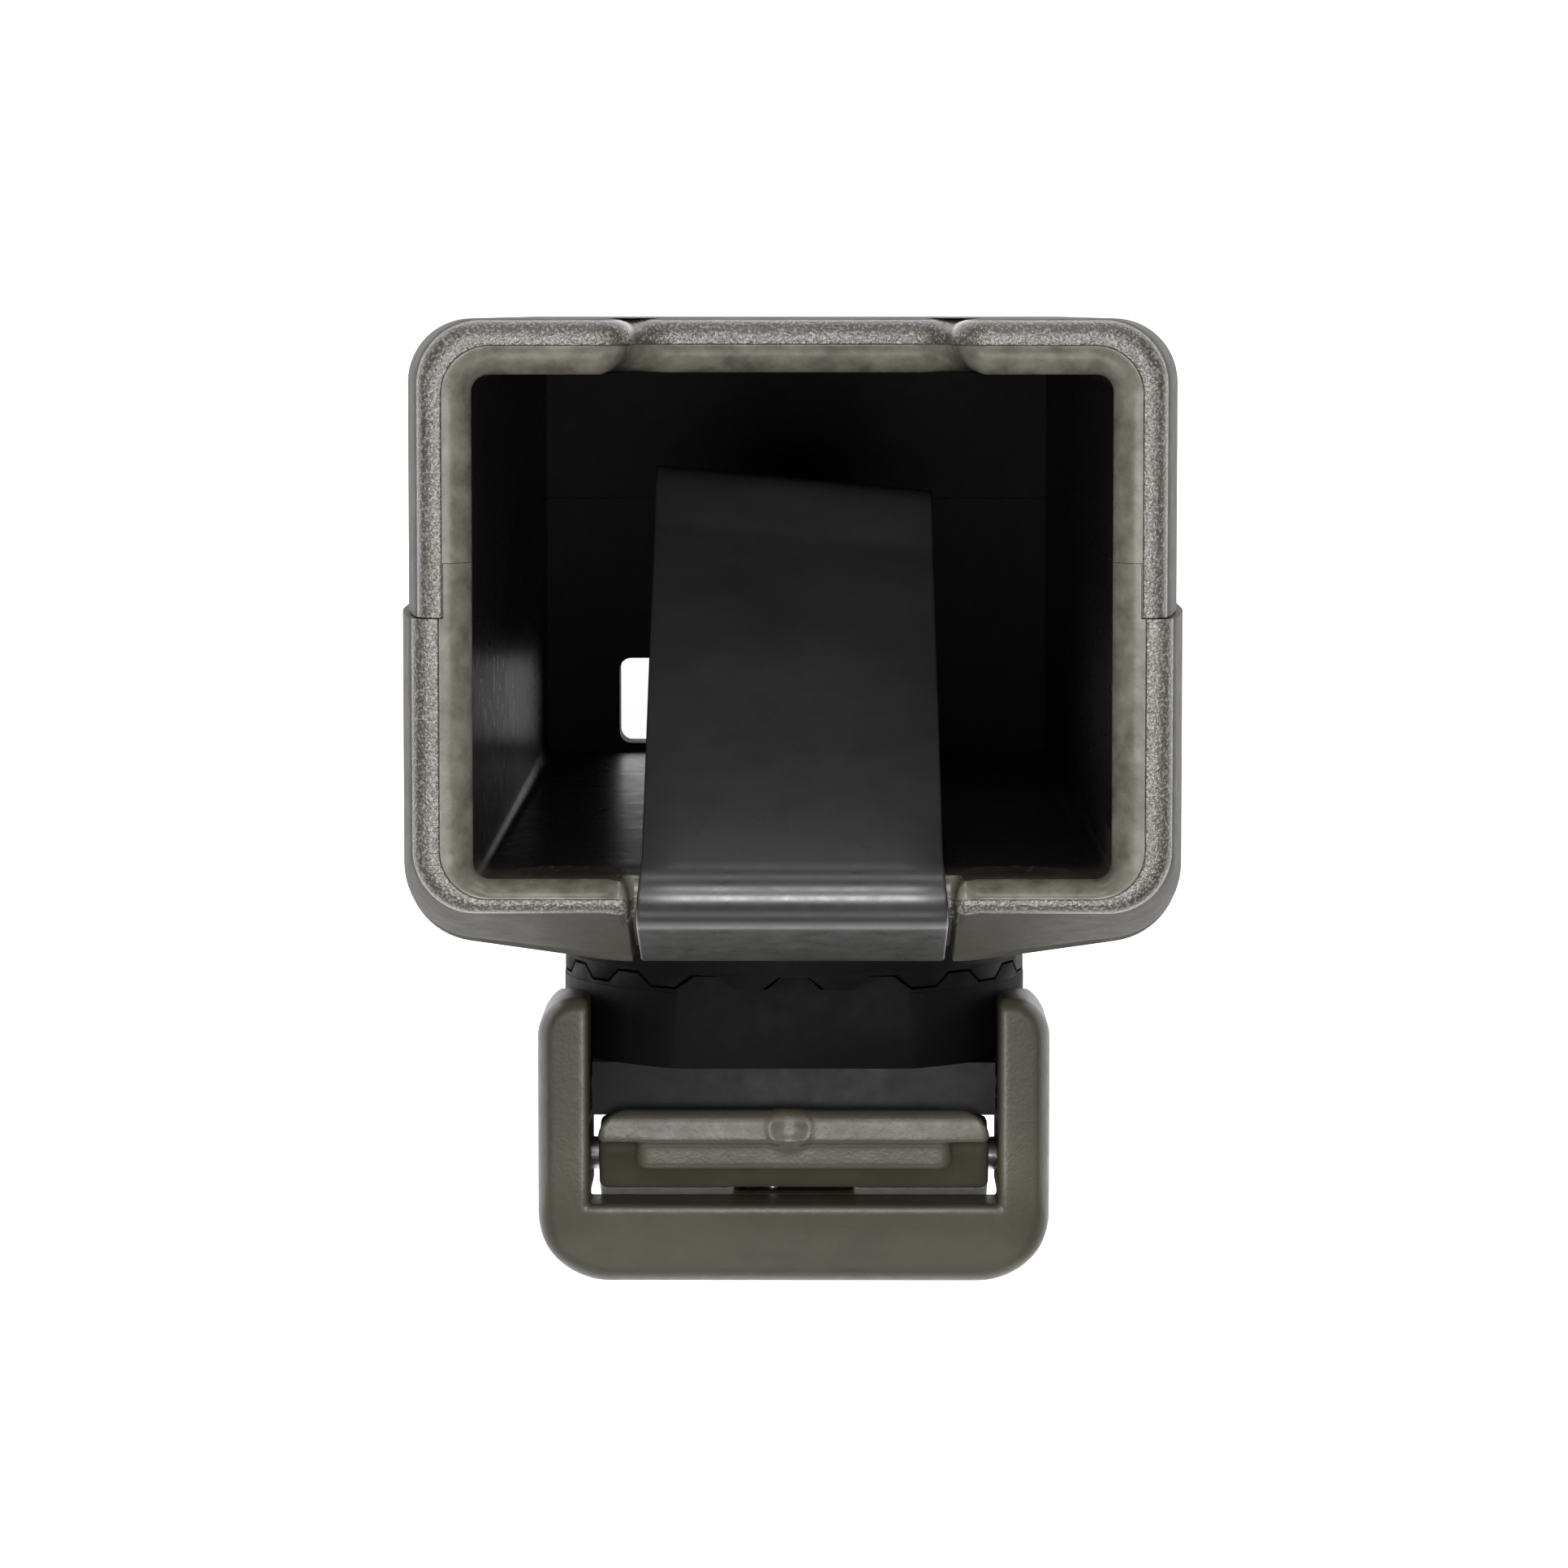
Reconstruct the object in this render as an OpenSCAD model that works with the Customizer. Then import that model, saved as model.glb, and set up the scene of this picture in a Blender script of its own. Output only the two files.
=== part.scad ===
// Swivelling belt holder: an open pouch in two shells, a leaf spring that holds what is put
// in it, a toothed swivel, and a belt clip with a sprung lock lever.
// Millimetres. Origin at the centre of the pouch's flat bottom, +Z up to the mouth,
// -Y the front, +Y the belt side.

/* [Pouch] */
// Height of the pouch from its flat bottom to the rim
pouch_h = 92; // [84:0.1:112]
// Width of the room inside, at the mouth
room_w = 35.5; // [31:0.1:43]
// Depth of the room inside, front to back, at the mouth
room_d = 28; // [25:0.1:34]
// Thickness of the floor
floor_t = 3.5; // [2.5:0.1:5]
// Thickness of each side wall at the rim
side_wall = 3.05; // [2.6:0.05:3.8]
// Thickness of the front wall
front_wall = 3.1; // [2.4:0.1:4]
// Thickness of the back wall at the rim
back_wall = 1.9; // [1.5:0.1:2.6]
// Radius of the pouch's outer corners
corner_r = 3.6; // [2.5:0.1:5]
// Radius of the room's corners
room_r = 0.9; // [0.5:0.1:2]
// How far the rear shell stands proud of the front shell at the seam
shell_step = 0.35; // [0.1:0.05:0.8]
// How far each side swells out below the rim
belly = 0.95; // [0.2:0.05:2]
// How far below the rim the sides are at their widest
belly_drop = 10; // [6:0.5:20]
// How far the front wall leans in by the floor
front_draft = 1.0; // [0.2:0.1:1.6]
// Width of the bevel that leads into the room
lead_in = 1.2; // [0.6:0.1:1.6]
// Thickness of the rear shell's lap tongue
tongue_t = 1.5; // [1:0.1:2]
// Reach of the lap tongue past the seam
tongue_l = 3; // [2:0.1:5]
// Width of the thumb dip in the front rim
thumb_w = 17.7; // [12:0.1:22]
// Depth of the thumb dip
thumb_drop = 12; // [6:0.5:18]
// Corner radius of the thumb dip
thumb_r = 2; // [1:0.1:3]

/* [Back pad] */
// How far the pad for the swivel stands out from the back of the rim
hump_out = 3.9; // [3:0.1:6]
// How far below the rim the pad reaches its full height
hump_drop = 12; // [10:0.5:16]
// Width of the flat middle of the pad
hump_flat_w = 20; // [18.6:0.1:26]
// Fall from the pad's flat middle to its corners
hump_fall = 1.15; // [0.6:0.05:2]
// Radius of the pad's corners
hump_r = 4.2; // [3:0.1:6]

/* [Leaf spring] */
// Thickness of the leaf
leaf_t = 0.9; // [0.6:0.05:1.1]
// Width of the bow inside the pouch
leaf_w = 16.8; // [13:0.1:17.4]
// Width of the leg outside the pouch
leg_w = 17.4; // [14:0.1:18]
// Gap between the leg and each side of its slot
leg_gap = 0.35; // [0.2:0.05:0.8]
// Inside radius of the bend over the rim
bend_r = 1.0; // [0.8:0.1:1.6]
// Lean of the bow's first stretch from upright, in degrees
ramp_lean = 30; // [26:0.5:33]
// Length of the bow's first stretch
ramp_l = 17.5; // [14:0.1:20]
// Lean of the bow's second stretch from upright, in degrees
mid_lean = 29; // [25:0.5:33]
// Length of the bow's second stretch
mid_l = 17.1; // [13:0.1:19]
// Lean of the stretch up to the crest, in degrees
crest_lean = 38.7; // [32:0.1:42]
// Length of the stretch up to the crest
crest_l = 4; // [3:0.1:5]
// Inside radius of the curl behind the crest
curl_r = 3.2; // [2:0.1:4]
// Lean of the curled end, back towards the pouch's wall, in degrees
curl_lean = 33; // [20:1:45]

/* [Swivel] */
// How far below the rim the swivel axis is
swivel_drop = 40; // [36:0.5:46]
// Outer radius of both toothed rings
ring_r = 14.15; // [13:0.05:17]
// Thickness of the pouch's ring, without its teeth
ring_t = 2.6; // [2.4:0.1:4]
// Thickness of the clip's ring, without its teeth
clip_ring_t = 4.77; // [4.6:0.01:6]
// Number of teeth
teeth = 16; // [12:1:24]
// Height of a tooth
tooth_h = 0.78; // [0.5:0.02:1]
// Gap left between a tooth's tip and the floor it faces
mesh_gap = 0.15; // [0.1:0.01:0.3]
// Width of the toothed band
tooth_band = 2.9; // [2:0.1:3]
// Share of the pitch taken by a tooth's flat tip
tip_share = 0.306; // [0.24:0.002:0.32]
// Share of the pitch taken by one flank
flank_share = 0.18; // [0.14:0.002:0.19]
// Radius of the swivel bolt's shoulder
bolt_r = 3; // [2.5:0.1:3.6]
// Radius of the swivel bolt's thread
thread_r = 2.5; // [2:0.1:2.5]
// Radius of the swivel bolt's head
head_r = 5.2; // [4.6:0.1:5.6]
// Height of the swivel bolt's head
head_h = 1.9; // [1.5:0.1:2.2]
// Running gap between the bolt and what turns on it
run_gap = 0.05; // [0.02:0.01:0.09]
// Gap around a piece set in a hole
set_gap = 0.02; // [0.01:0.01:0.05]
// Outer radius of the threaded insert
insert_r = 4.6; // [4.2:0.1:5]
// Outer radius of the bearing sleeve
sleeve_r = 4; // [3.8:0.1:4.1]
// Thickness of the keyed washer
washer_t = 0.7; // [0.5:0.05:1]
// Radius of the keyed washer
washer_r = 6; // [5.7:0.1:6.3]
// Reach of the washer's two keys from the bolt's axis
key_reach = 8; // [7.4:0.1:8.4]
// Radius of the wire of the swivel spring
spring_wire_r = 0.35; // [0.25:0.05:0.4]

/* [Clip] */
// Height of the clip's top above the swivel axis
chord_h = 12.3; // [11.6:0.1:13]
// Inside width of the clip's frame
frame_in_w = 24.6; // [24.2:0.1:30]
// Thickness of the frame's side walls
frame_wall = 3.15; // [2.6:0.05:4]
// Height of the frame
frame_h = 10; // [9.6:0.1:12]
// How far the frame reaches forward of the base plate, around the clip's ring
frame_reach = 4.2; // [3:0.1:4.4]
// Thickness of the frame's back bar
bar_t = 5.1; // [3:0.1:6]
// Height of the frame's back bar
bar_h = 5; // [3.6:0.1:5.4]
// Radius of the frame's back corners
frame_r = 4.4; // [3:0.1:5]
// Thickness of the base plate
plate_t = 3.2; // [3:0.1:4]
// How far the base plate's top is below the clip's top
plate_drop = 2.9; // [2.7:0.1:3.4]
// Thickness of belt that the clip takes
belt_t = 4.6; // [4:0.1:7]
// Width of belt that the clip takes
belt_w = 49; // [30:0.5:52]
// Thickness of the lever's thumb ridge, front to back
ridge_t = 1.9; // [1.4:0.1:2.4]
// Width of the thumb pad behind the ridge
pad_w = 19.1; // [12:0.1:21]
// Reach of the thumb pad behind the ridge
pad_reach = 1.8; // [1:0.1:2.2]
// Thickness of the lever's arm
arm_t = 2.8; // [2.2:0.1:4]
// Thickness of the lever's hook
hook_t = 3.5; // [2.5:0.1:4.5]
// Gap between the lever and each side of the frame
lever_gap = 0.5; // [0.3:0.05:0.9]
// Radius of the lever pin
pin_r = 1; // [0.8:0.05:1.2]
// How far below the clip's top the lever pin is
pin_drop = 7; // [6.6:0.1:7.6]
// Radius of the lever spring's wire
lever_wire_r = 0.25; // [0.2:0.05:0.3]

/* [Screws] */
// Radius of the small screws' threads
screw_r = 1; // [0.8:0.05:1.1]
// Radius of the small screws' heads
screw_head_r = 1.8; // [1.5:0.05:1.9]
// Height of the small screws' heads
screw_head_h = 1; // [0.8:0.1:1.2]
// Gap around the small screws in their clearance holes
screw_gap = 0.1; // [0.05:0.05:0.2]
// Width of the cross recess in a small screw's head
cross_w = 0.4; // [0.3:0.05:0.5]

/* [Hidden] */
$fn = 64;

olive = [0.33, 0.32, 0.28];
black = [0.08, 0.08, 0.085];
spring_black = [0.2, 0.2, 0.2];
steel = [0.62, 0.62, 0.63];
brass = [0.75, 0.6, 0.3];

// A very thin slab, as one level of a hull
slab = 0.1;
// An overrun that takes a cut past the face it starts from
over = 1;
hull_fn = 32;

// Pouch, in plan
x_room = room_w / 2;
x_front = x_room + side_wall;
x_rear = x_front + shell_step;
y_back = (front_wall + room_d + back_wall) / 2;
y_front = -y_back;
y_room_front = y_front + front_wall;
y_room_back = y_back - back_wall;
y_hump = y_back + hump_out;
rim_edge = 0.6;
rim_edge_drop = 1.2;
foot_round = 2.2;
lead_in_drop = 1.5;
back_lead_in = 0.4;
floor_taper = 0.5;
pad_draft = 0.3;
tuck = 3;
tongue_top = pouch_h - 0.6;

// Drain slot in the floor, and the two shallow round marks inside the back wall
drain_x = [8.9, 12.25];
drain_l = 5.9;
drain_r = 0.8;
drain_back_gap = 0.6;
mark_r = 3;
mark_d = 0.25;
mark_x = x_room - 5.15;
mark_drop = 5.5;

// Leaf spring
slot_w = leg_w + 2 * leg_gap;
leaf_top_drop = 0.4;
pivot_y = y_room_back + 1;
pivot_z = pouch_h - leaf_top_drop - bend_r - leaf_t;
y_channel = y_hump - leaf_t;
bead_gap = 0.05;
bead_r = bend_r - bead_gap;
notch_z = pivot_z - bend_r - bead_gap;
z_knee = pouch_h - hump_drop;
knee_d = norm([y_channel - pivot_y, z_knee - pivot_z]);
leg_angle = atan2(z_knee - pivot_z, y_channel - pivot_y) + acos(bend_r / knee_d);
bow_angle = 180 - ramp_lean;
split_angle = 125;
split_gap = 0.6;
curl_steps = 10;
curl_end_l = 1.4;

// Swivel, along Y
z_axis = pouch_h - swivel_drop;
pitch = 360 / teeth;
tooth_in_r = ring_r - tooth_band;
y_pouch_floor = y_hump + ring_t;
y_clip_floor = y_pouch_floor + tooth_h + mesh_gap;
y_plate = y_clip_floor + clip_ring_t;
y_plate_back = y_plate + plate_t;
face_relief = 0.2;
crown_root = 0.5;
crown_inset = 0.03;
pull_travel = 1.2;
head_sink = 0.4;
y_head = y_plate_back - head_sink - head_h;
y_washer = y_head - washer_t;
pocket_wall = 1.07;
y_pocket = y_clip_floor + pocket_wall;
pocket_r = washer_r + 0.2;
key_w = 3;
key_side_gap = 0.05;
key_end_gap = 0.1;
y_key = y_washer - pull_travel - 0.3;
insert_wall = 1;
y_insert = y_room_back + insert_wall;
thread_end_gap = 0.4;
sleeve_front = 0.25;
sleeve_l = 2;
socket_r = 1.75;
socket_d = 1.1;
spring_turns = 2.5;
spring_r = 4.6;
spring_steps = 20;
wire_sides = 8;

// Screws that hold the pouch's ring and the leg of the leaf
cross_l = 1.2 * screw_head_r;
ring_screw_x = 5;
ring_screw_z = 7.8;
leg_edge = 2.6;
leg_bottom_z = z_axis + ring_screw_z - leg_edge;
ring_screw_head_y = y_hump + 1.1;
ring_screw_end_y = y_room_back + 1.4;

// Screws that hold the clip's ring to the base plate
plate_screw_at = 7.35;
plate_screw_sink = 0.1;
y_plate_screw_head = y_plate_back - plate_screw_sink - screw_head_h;
y_plate_screw_end = y_clip_floor + 1.1;

// Clip
z_top = z_axis + chord_h;
z_frame = z_top - frame_h;
z_hook_top = z_frame - belt_w;
z_clip = z_hook_top - hook_t;
z_plate_top = z_top - plate_drop;
x_frame_in = frame_in_w / 2;
x_frame = x_frame_in + frame_wall;
x_plate = x_frame_in - 0.1;
x_lever = x_frame_in - lever_gap;
y_frame = y_plate - frame_reach;
shoulder_r = 2.6;
top_bevel = 1.2;
bar_slope = 2;
bar_flat = 0.6;
ring_room = 0.2;
y_arm = y_plate_back + belt_t;
y_arm_back = y_arm + arm_t;
plate_corner_r = 3;
frame_screw_z = z_frame + 3.7;
frame_screw_in = 2.4;
x_screw_end = x_plate - frame_screw_in;
frame_screw_sink = 0.3;
x_screw_top = x_frame - frame_screw_sink;
x_screw_seat = x_screw_top - screw_head_h;
// the screws sit mid-plate, or just behind the clip's ring where its edge reaches their heads
ring_meets_screw = norm([x_screw_seat, frame_screw_z - screw_head_r - z_axis]) < ring_r + ring_room;
frame_screw_y = y_plate + max(plate_t / 2, ring_meets_screw ? screw_head_r + screw_gap : 0);

// Lever, in its side outline
pin_y = y_plate_back + 2.9;
pin_z = z_top - pin_drop;
boss_r = 2.4;
head_gap = 0.4;
y_bar = pin_y + 2.2;
y_head_back = y_bar - head_gap;
ridge_edge = 0.6;
ridge_fall = 3.7;
neck = 1.5;
y_ridge = y_plate_back - 0.6;
ridge_back = y_ridge + ridge_t;
pad_back = ridge_back + pad_reach;
pad_top_drop = 0.35;
pad_low_drop = 3.4;
ridge_z = z_top - 1.5;
lever_top_drop = 0.2;
hook_gap = 0.25;
hook_round = 1.2;
spring_room_w = 7.2;
spring_room_z = 2.8;
lever_coil_r = 1.55;
lever_coil_pitch = 0.6;
lever_turns = 4;
lever_step = 20;
leg_down_angle = 250;
leg_up_angle = 354;
leg_down_l = 2.1;
leg_up_l = 2.5;

// ---- shared shapes

// A rectangle with round corners, in plan, from y0 to y1 and half_w either side of the middle
module plan(half_w, y0, y1, r) {
  for (x = [-half_w + r, half_w - r], y = [y0 + r, y1 - r]) translate([x, y]) circle(r, $fn = hull_fn);
}

module level(z) {
  translate([0, 0, z]) linear_extrude(slab) children();
}

// The pad's outline in plan, for a body half_w wide whose flat middle is at y_mid
module pad_plan(half_w, y_mid) {
  for (x = [-half_w + hump_r, half_w - hump_r]) {
    translate([x, y_mid - hump_fall - hump_r]) circle(hump_r, $fn = hull_fn);
    translate([x, -hump_r]) circle(hump_r, $fn = hull_fn);
  }
  translate([-hump_flat_w / 2, 0]) square([hump_flat_w, y_mid]);
}

// Everything in front of the seam, or behind it
module half(front) {
  big = 4 * (room_w + pouch_h);
  translate([-big / 2, front ? -big : 0, -big / 2]) cube([big, big, 2 * big]);
}

// Local z runs along the swivel axis, so it reads as Y
module on_axis() {
  translate([0, 0, z_axis]) rotate([-90, 0, 0]) children();
}

// A cylinder along Y from y0 to y1, at x and height z
module along_y(r, y0, y1, x = 0, z = z_axis) {
  translate([x, y0, z]) rotate([-90, 0, 0]) cylinder(r = r, h = y1 - y0);
}

// A cylinder along X from x0 to x1, at y and height z
module along_x(r, x0, x1, y, z) {
  translate([x0, y, z]) rotate([0, 90, 0]) cylinder(r = r, h = x1 - x0);
}

// A (y, z) outline, carried across X over a width w centred on the middle
module across(w) {
  translate([-w / 2, 0, 0]) rotate([90, 0, 90]) linear_extrude(w) children();
}

// A ring of radial teeth. The floor between them is at 0 and the tips at tooth_h.
module crown(phase) {
  tip = pitch * tip_share;
  flank = pitch * flank_share;
  steps = [[-tip / 2 - flank, 0], [-tip / 2, tooth_h], [tip / 2, tooth_h], [tip / 2 + flank, 0]];
  n = 4 * teeth;
  r0 = tooth_in_r;
  r1 = ring_r - crown_inset;
  at = [for (i = [0:teeth - 1], s = steps) [phase + i * pitch + s[0], s[1]]];
  points = [for (a = at, e = [[r0, -crown_root], [r1, -crown_root], [r1, a[1]], [r0, a[1]]])
    [e[0] * cos(a[0]), e[0] * sin(a[0]), e[1]]];
  faces = [for (i = [0:n - 1], k = [0:3]) let (a = 4 * i, b = 4 * ((i + 1) % n), m = (k + 1) % 4)
    each [[a + k, b + m, b + k], [a + k, a + m, b + m]]];
  polyhedron(points, faces);
}

// A round wire swept along a path. side is a direction that the path never runs along.
module wire(path, r, side) {
  n = len(path);
  points = [for (i = [0:n - 1])
    let (t = unit(path[min(i + 1, n - 1)] - path[max(i - 1, 0)]), u = unit(cross(t, side)), v = cross(t, u))
    for (k = [0:wire_sides - 1])
      path[i] + r * (cos(360 * k / wire_sides) * u + sin(360 * k / wire_sides) * v)];
  skin = [for (i = [0:n - 2], k = [0:wire_sides - 1])
    let (a = i * wire_sides, b = a + wire_sides, m = (k + 1) % wire_sides)
    each [[a + k, b + k, b + m], [a + k, b + m, a + m]]];
  start = [for (k = [0:wire_sides - 1]) k];
  end = [for (k = [wire_sides - 1:-1:0]) (n - 1) * wire_sides + k];
  polyhedron(points, concat([start], skin, [end]));
}

function unit(v) = v / norm(v);
function polar(r, a) = [r * cos(a), r * sin(a)];

// ---- pouch

module front_outer() {
  wide = x_front + belly;
  hull() {
    level(0) plan(wide - foot_round, y_front + front_draft + foot_round, y_back, corner_r);
    level(foot_round) plan(wide, y_front + front_draft, y_back, corner_r);
    level(pouch_h - belly_drop) plan(wide, y_front + front_draft * belly_drop / pouch_h, y_back, corner_r);
    level(pouch_h - rim_edge_drop) plan(x_front, y_front, y_back, corner_r);
    level(pouch_h - slab) plan(x_front - rim_edge, y_front + rim_edge, y_back, corner_r - rim_edge);
  }
}

module rear_outer() {
  wide = x_rear + belly;
  hull() {
    level(0) plan(wide - foot_round, -y_back, y_back - rim_edge, corner_r);
    level(foot_round) plan(wide, -y_back, y_back + rim_edge, corner_r);
    level(z_axis - ring_r - tuck) pad_plan(wide - pad_draft, y_hump);
    level(pouch_h - hump_drop) pad_plan(wide, y_hump);
    level(pouch_h - rim_edge_drop) plan(x_rear, -y_back, y_back, corner_r);
    level(pouch_h - slab) plan(x_rear - rim_edge, -y_back, y_back - rim_edge, corner_r - rim_edge);
  }
}

// The room inside, with the bevel that leads into it
module room() {
  hull() {
    level(floor_t) plan(x_room - floor_taper, y_room_front + front_draft, y_room_back, room_r);
    level(pouch_h + over) plan(x_room, y_room_front, y_room_back, room_r);
  }
  hull() {
    level(pouch_h - lead_in_drop) plan(x_room, y_room_front, y_room_back, room_r);
    level(pouch_h)
      plan(x_room + lead_in, y_room_front - lead_in, y_room_back + back_lead_in, room_r + back_lead_in);
  }
}

// The lap tongue's block, grown by gap on its free sides
module tongue(gap) {
  w = x_room + tongue_t + gap;
  translate([-w, -tongue_l - gap, floor_t / 2 - gap]) cube([2 * w, tongue_l + gap + over, pouch_h]);
}

module thumb_dip() {
  flare = thumb_w / 2 + thumb_r;
  translate([0, y_room_front + over + lead_in, pouch_h - thumb_drop]) rotate([90, 0, 0])
    linear_extrude(front_wall + lead_in + 3 * over) {
      translate([-thumb_w / 2, thumb_r]) square([thumb_w, thumb_drop]);
      translate([-thumb_w / 2 + thumb_r, 0]) square([thumb_w - 2 * thumb_r, thumb_drop]);
      for (s = [-1, 1]) translate([s * (thumb_w / 2 - thumb_r), thumb_r]) circle(thumb_r);
      difference() {
        translate([-flare, thumb_drop - thumb_r]) square([2 * flare, thumb_r + over]);
        for (s = [-1, 1]) translate([s * flare, thumb_drop - thumb_r]) circle(thumb_r);
      }
    }
}

module front_shell() color(olive) difference() {
  intersection() {
    front_outer();
    half(front = true);
  }
  room();
  tongue(set_gap);
  thumb_dip();
}

// The slot over the rim and the channel down the pad that the leaf's leg lies in
module leaf_channel() {
  top = [pivot_y, pivot_z] + polar(bend_r, leg_angle);
  slope_y = y_channel + (notch_z - z_knee) * (top[0] - y_channel) / (top[1] - z_knee);
  across(slot_w) polygon([
    [y_channel, leg_bottom_z - set_gap], [y_channel, z_knee], [slope_y, notch_z],
    [y_room_back - 2 * over, notch_z], [y_room_back - 2 * over, pouch_h + over],
    [y_hump + 2 * over, pouch_h + over], [y_hump + 2 * over, leg_bottom_z - set_gap]
  ]);
}

module drain() {
  y1 = y_room_back - drain_back_gap;
  w = drain_x[1] - drain_x[0];
  translate([drain_x[0], y1 - drain_l, -over]) linear_extrude(floor_t + 2 * over) {
    translate([drain_r, 0]) square([w - 2 * drain_r, drain_l]);
    translate([0, drain_r]) square([w, drain_l - 2 * drain_r]);
    for (x = [drain_r, w - drain_r], y = [drain_r, drain_l - drain_r]) translate([x, y]) circle(drain_r);
  }
}

module rear_shell() color(olive) difference() {
  union() {
    intersection() {
      rear_outer();
      half(front = false);
    }
    intersection() {
      tongue(0);
      translate([-x_front, -y_back, -over]) cube([2 * x_front, 2 * y_back, tongue_top + over]);
    }
  }
  room();
  leaf_channel();
  drain();
  along_y(insert_r + set_gap, y_insert, y_hump + over);
  for (x = [-ring_screw_x, ring_screw_x], z = [-ring_screw_z, ring_screw_z])
    along_y(screw_r + set_gap, ring_screw_end_y - set_gap, y_hump + over, x, z_axis + z);
  for (s = [-1, 1])
    along_y(mark_r, y_room_back - over, y_room_back + mark_d, s * mark_x, pouch_h - mark_drop);
}

module leaf_leg() color(spring_black) difference() {
  union() {
    across(leg_w) polygon([
      [y_channel, leg_bottom_z], [y_hump, leg_bottom_z],
      [y_hump, z_knee + leaf_t * tan(leg_angle / 2)],
      [pivot_y, pivot_z] + polar(bend_r + leaf_t, leg_angle),
      [pivot_y, pivot_z] + polar(bend_r, leg_angle),
      [y_channel, z_knee]
    ]);
    across(leg_w) bend(leg_angle - split_gap, split_angle);
  }
  for (x = [-ring_screw_x, ring_screw_x])
    along_y(screw_r + screw_gap, y_channel - over, y_hump + over, x, z_axis + ring_screw_z);
}

// The part of the bend over the rim between two angles about its centre
module bend(a0, a1) {
  reach = 4 * (bend_r + leaf_t);
  translate([pivot_y, pivot_z]) intersection() {
    difference() {
      circle(bend_r + leaf_t);
      circle(bend_r);
    }
    polygon([[0, 0], polar(reach, a0), polar(reach, (a0 + a1) / 2), polar(reach, a1)]);
  }
}

// The bow's stretches, each a length and a lean from upright
curl = [for (i = [1:curl_steps])
  let (a = crest_lean - (crest_lean + curl_lean) * (i - 0.5) / curl_steps)
  [(crest_lean + curl_lean) / curl_steps * PI / 180 * (curl_r + leaf_t), a]];
bow = concat(
  [[ramp_l, ramp_lean], [mid_l, mid_lean], [crest_l, crest_lean]], curl, [[curl_end_l, -curl_lean]]
);
function ahead(lean) = [-sin(lean), -cos(lean)];
function outward(lean) = [-cos(lean), sin(lean)];
// Where the bow's outer face is after n stretches
function bow_at(n) = n == 0
  ? [pivot_y, pivot_z] + polar(bend_r + leaf_t, bow_angle)
  : bow_at(n - 1) + bow[n - 1][0] * ahead(bow[n - 1][1]);
// The direction across the leaf at the joint after n stretches
function bow_normal(n) = let (a = bow[max(n - 1, 0)][1], b = bow[min(n, len(bow) - 1)][1])
  outward((a + b) / 2) / cos((a - b) / 2);

module leaf_bow() color(spring_black) across(leaf_w) {
  n = len(bow);
  polygon(concat(
    [for (i = [0:n]) bow_at(i)],
    [for (i = [n:-1:0]) bow_at(i) - leaf_t * bow_normal(i)]
  ));
  bend(split_angle + split_gap, bow_angle + split_gap);
  translate([pivot_y, pivot_z]) {
    circle(bead_r);
    rotate(bow_angle) translate([0, -bead_gap]) square([bend_r + leaf_t / 2, bead_r]);
  }
}

// ---- swivel

module pouch_ring() color(black) difference() {
  on_axis() {
    translate([0, 0, y_hump]) cylinder(r = ring_r, h = ring_t - face_relief);
    translate([0, 0, y_pouch_floor]) crown(pitch / 2);
  }
  along_y(bolt_r + screw_gap, y_hump - over, y_clip_floor);
  for (x = [-ring_screw_x, ring_screw_x], z = [-ring_screw_z, ring_screw_z]) {
    along_y(screw_r + screw_gap, y_hump - over, y_clip_floor, x, z_axis + z);
    along_y(screw_head_r + screw_gap, ring_screw_head_y, y_clip_floor, x, z_axis + z);
  }
}

module ring_screws() color(steel) {
  for (x = [-ring_screw_x, ring_screw_x], z = [-ring_screw_z, ring_screw_z]) difference() {
    union() {
      along_y(screw_r, ring_screw_end_y, ring_screw_head_y + screw_head_h / 2, x, z_axis + z);
      along_y(screw_head_r, ring_screw_head_y, ring_screw_head_y + screw_head_h, x, z_axis + z);
    }
    screw_cross(x, z_axis + z, ring_screw_head_y + screw_head_h);
  }
}

// The cross recess in a small screw's head whose top is at y
module screw_cross(x, z, y) {
  d = screw_head_h / 2;
  translate([x - cross_w / 2, y - d, z - cross_l / 2]) cube([cross_w, d + over, cross_l]);
  translate([x - cross_l / 2, y - d, z - cross_w / 2]) cube([cross_l, d + over, cross_w]);
}

module threaded_insert() color(brass) difference() {
  along_y(insert_r, y_insert, y_hump);
  along_y(thread_r + set_gap, y_insert - over, y_hump + over);
}

module swivel_bolt() color(steel) difference() {
  union() {
    along_y(thread_r, y_insert + thread_end_gap, y_hump + over);
    along_y(bolt_r, y_hump, y_head + over);
    along_y(head_r, y_head, y_head + head_h);
  }
  on_axis() translate([0, 0, y_head + head_h - socket_d])
    cylinder(r = socket_r, h = socket_d + over, $fn = 6);
}

module keyed_washer() color(steel) difference() {
  union() {
    along_y(washer_r, y_washer, y_head);
    translate([-key_reach, y_washer, z_axis - key_w / 2]) cube([2 * key_reach, washer_t, key_w]);
  }
  along_y(bolt_r + run_gap, y_washer - over, y_head + over);
}

module swivel_spring() color(steel) {
  n = spring_turns * spring_steps;
  y0 = y_pocket + spring_wire_r;
  y1 = y_washer - spring_wire_r;
  wire(
    [for (i = [0:n]) let (a = 360 * i / spring_steps)
      [spring_r * cos(a), y0 + (y1 - y0) * i / n, z_axis + spring_r * sin(a)]],
    spring_wire_r, [0, 1, 0]
  );
}

module bearing_sleeve() color(brass) difference() {
  along_y(sleeve_r, y_clip_floor + sleeve_front, y_clip_floor + sleeve_front + sleeve_l);
  along_y(bolt_r + run_gap, y_clip_floor, y_plate);
}

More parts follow.
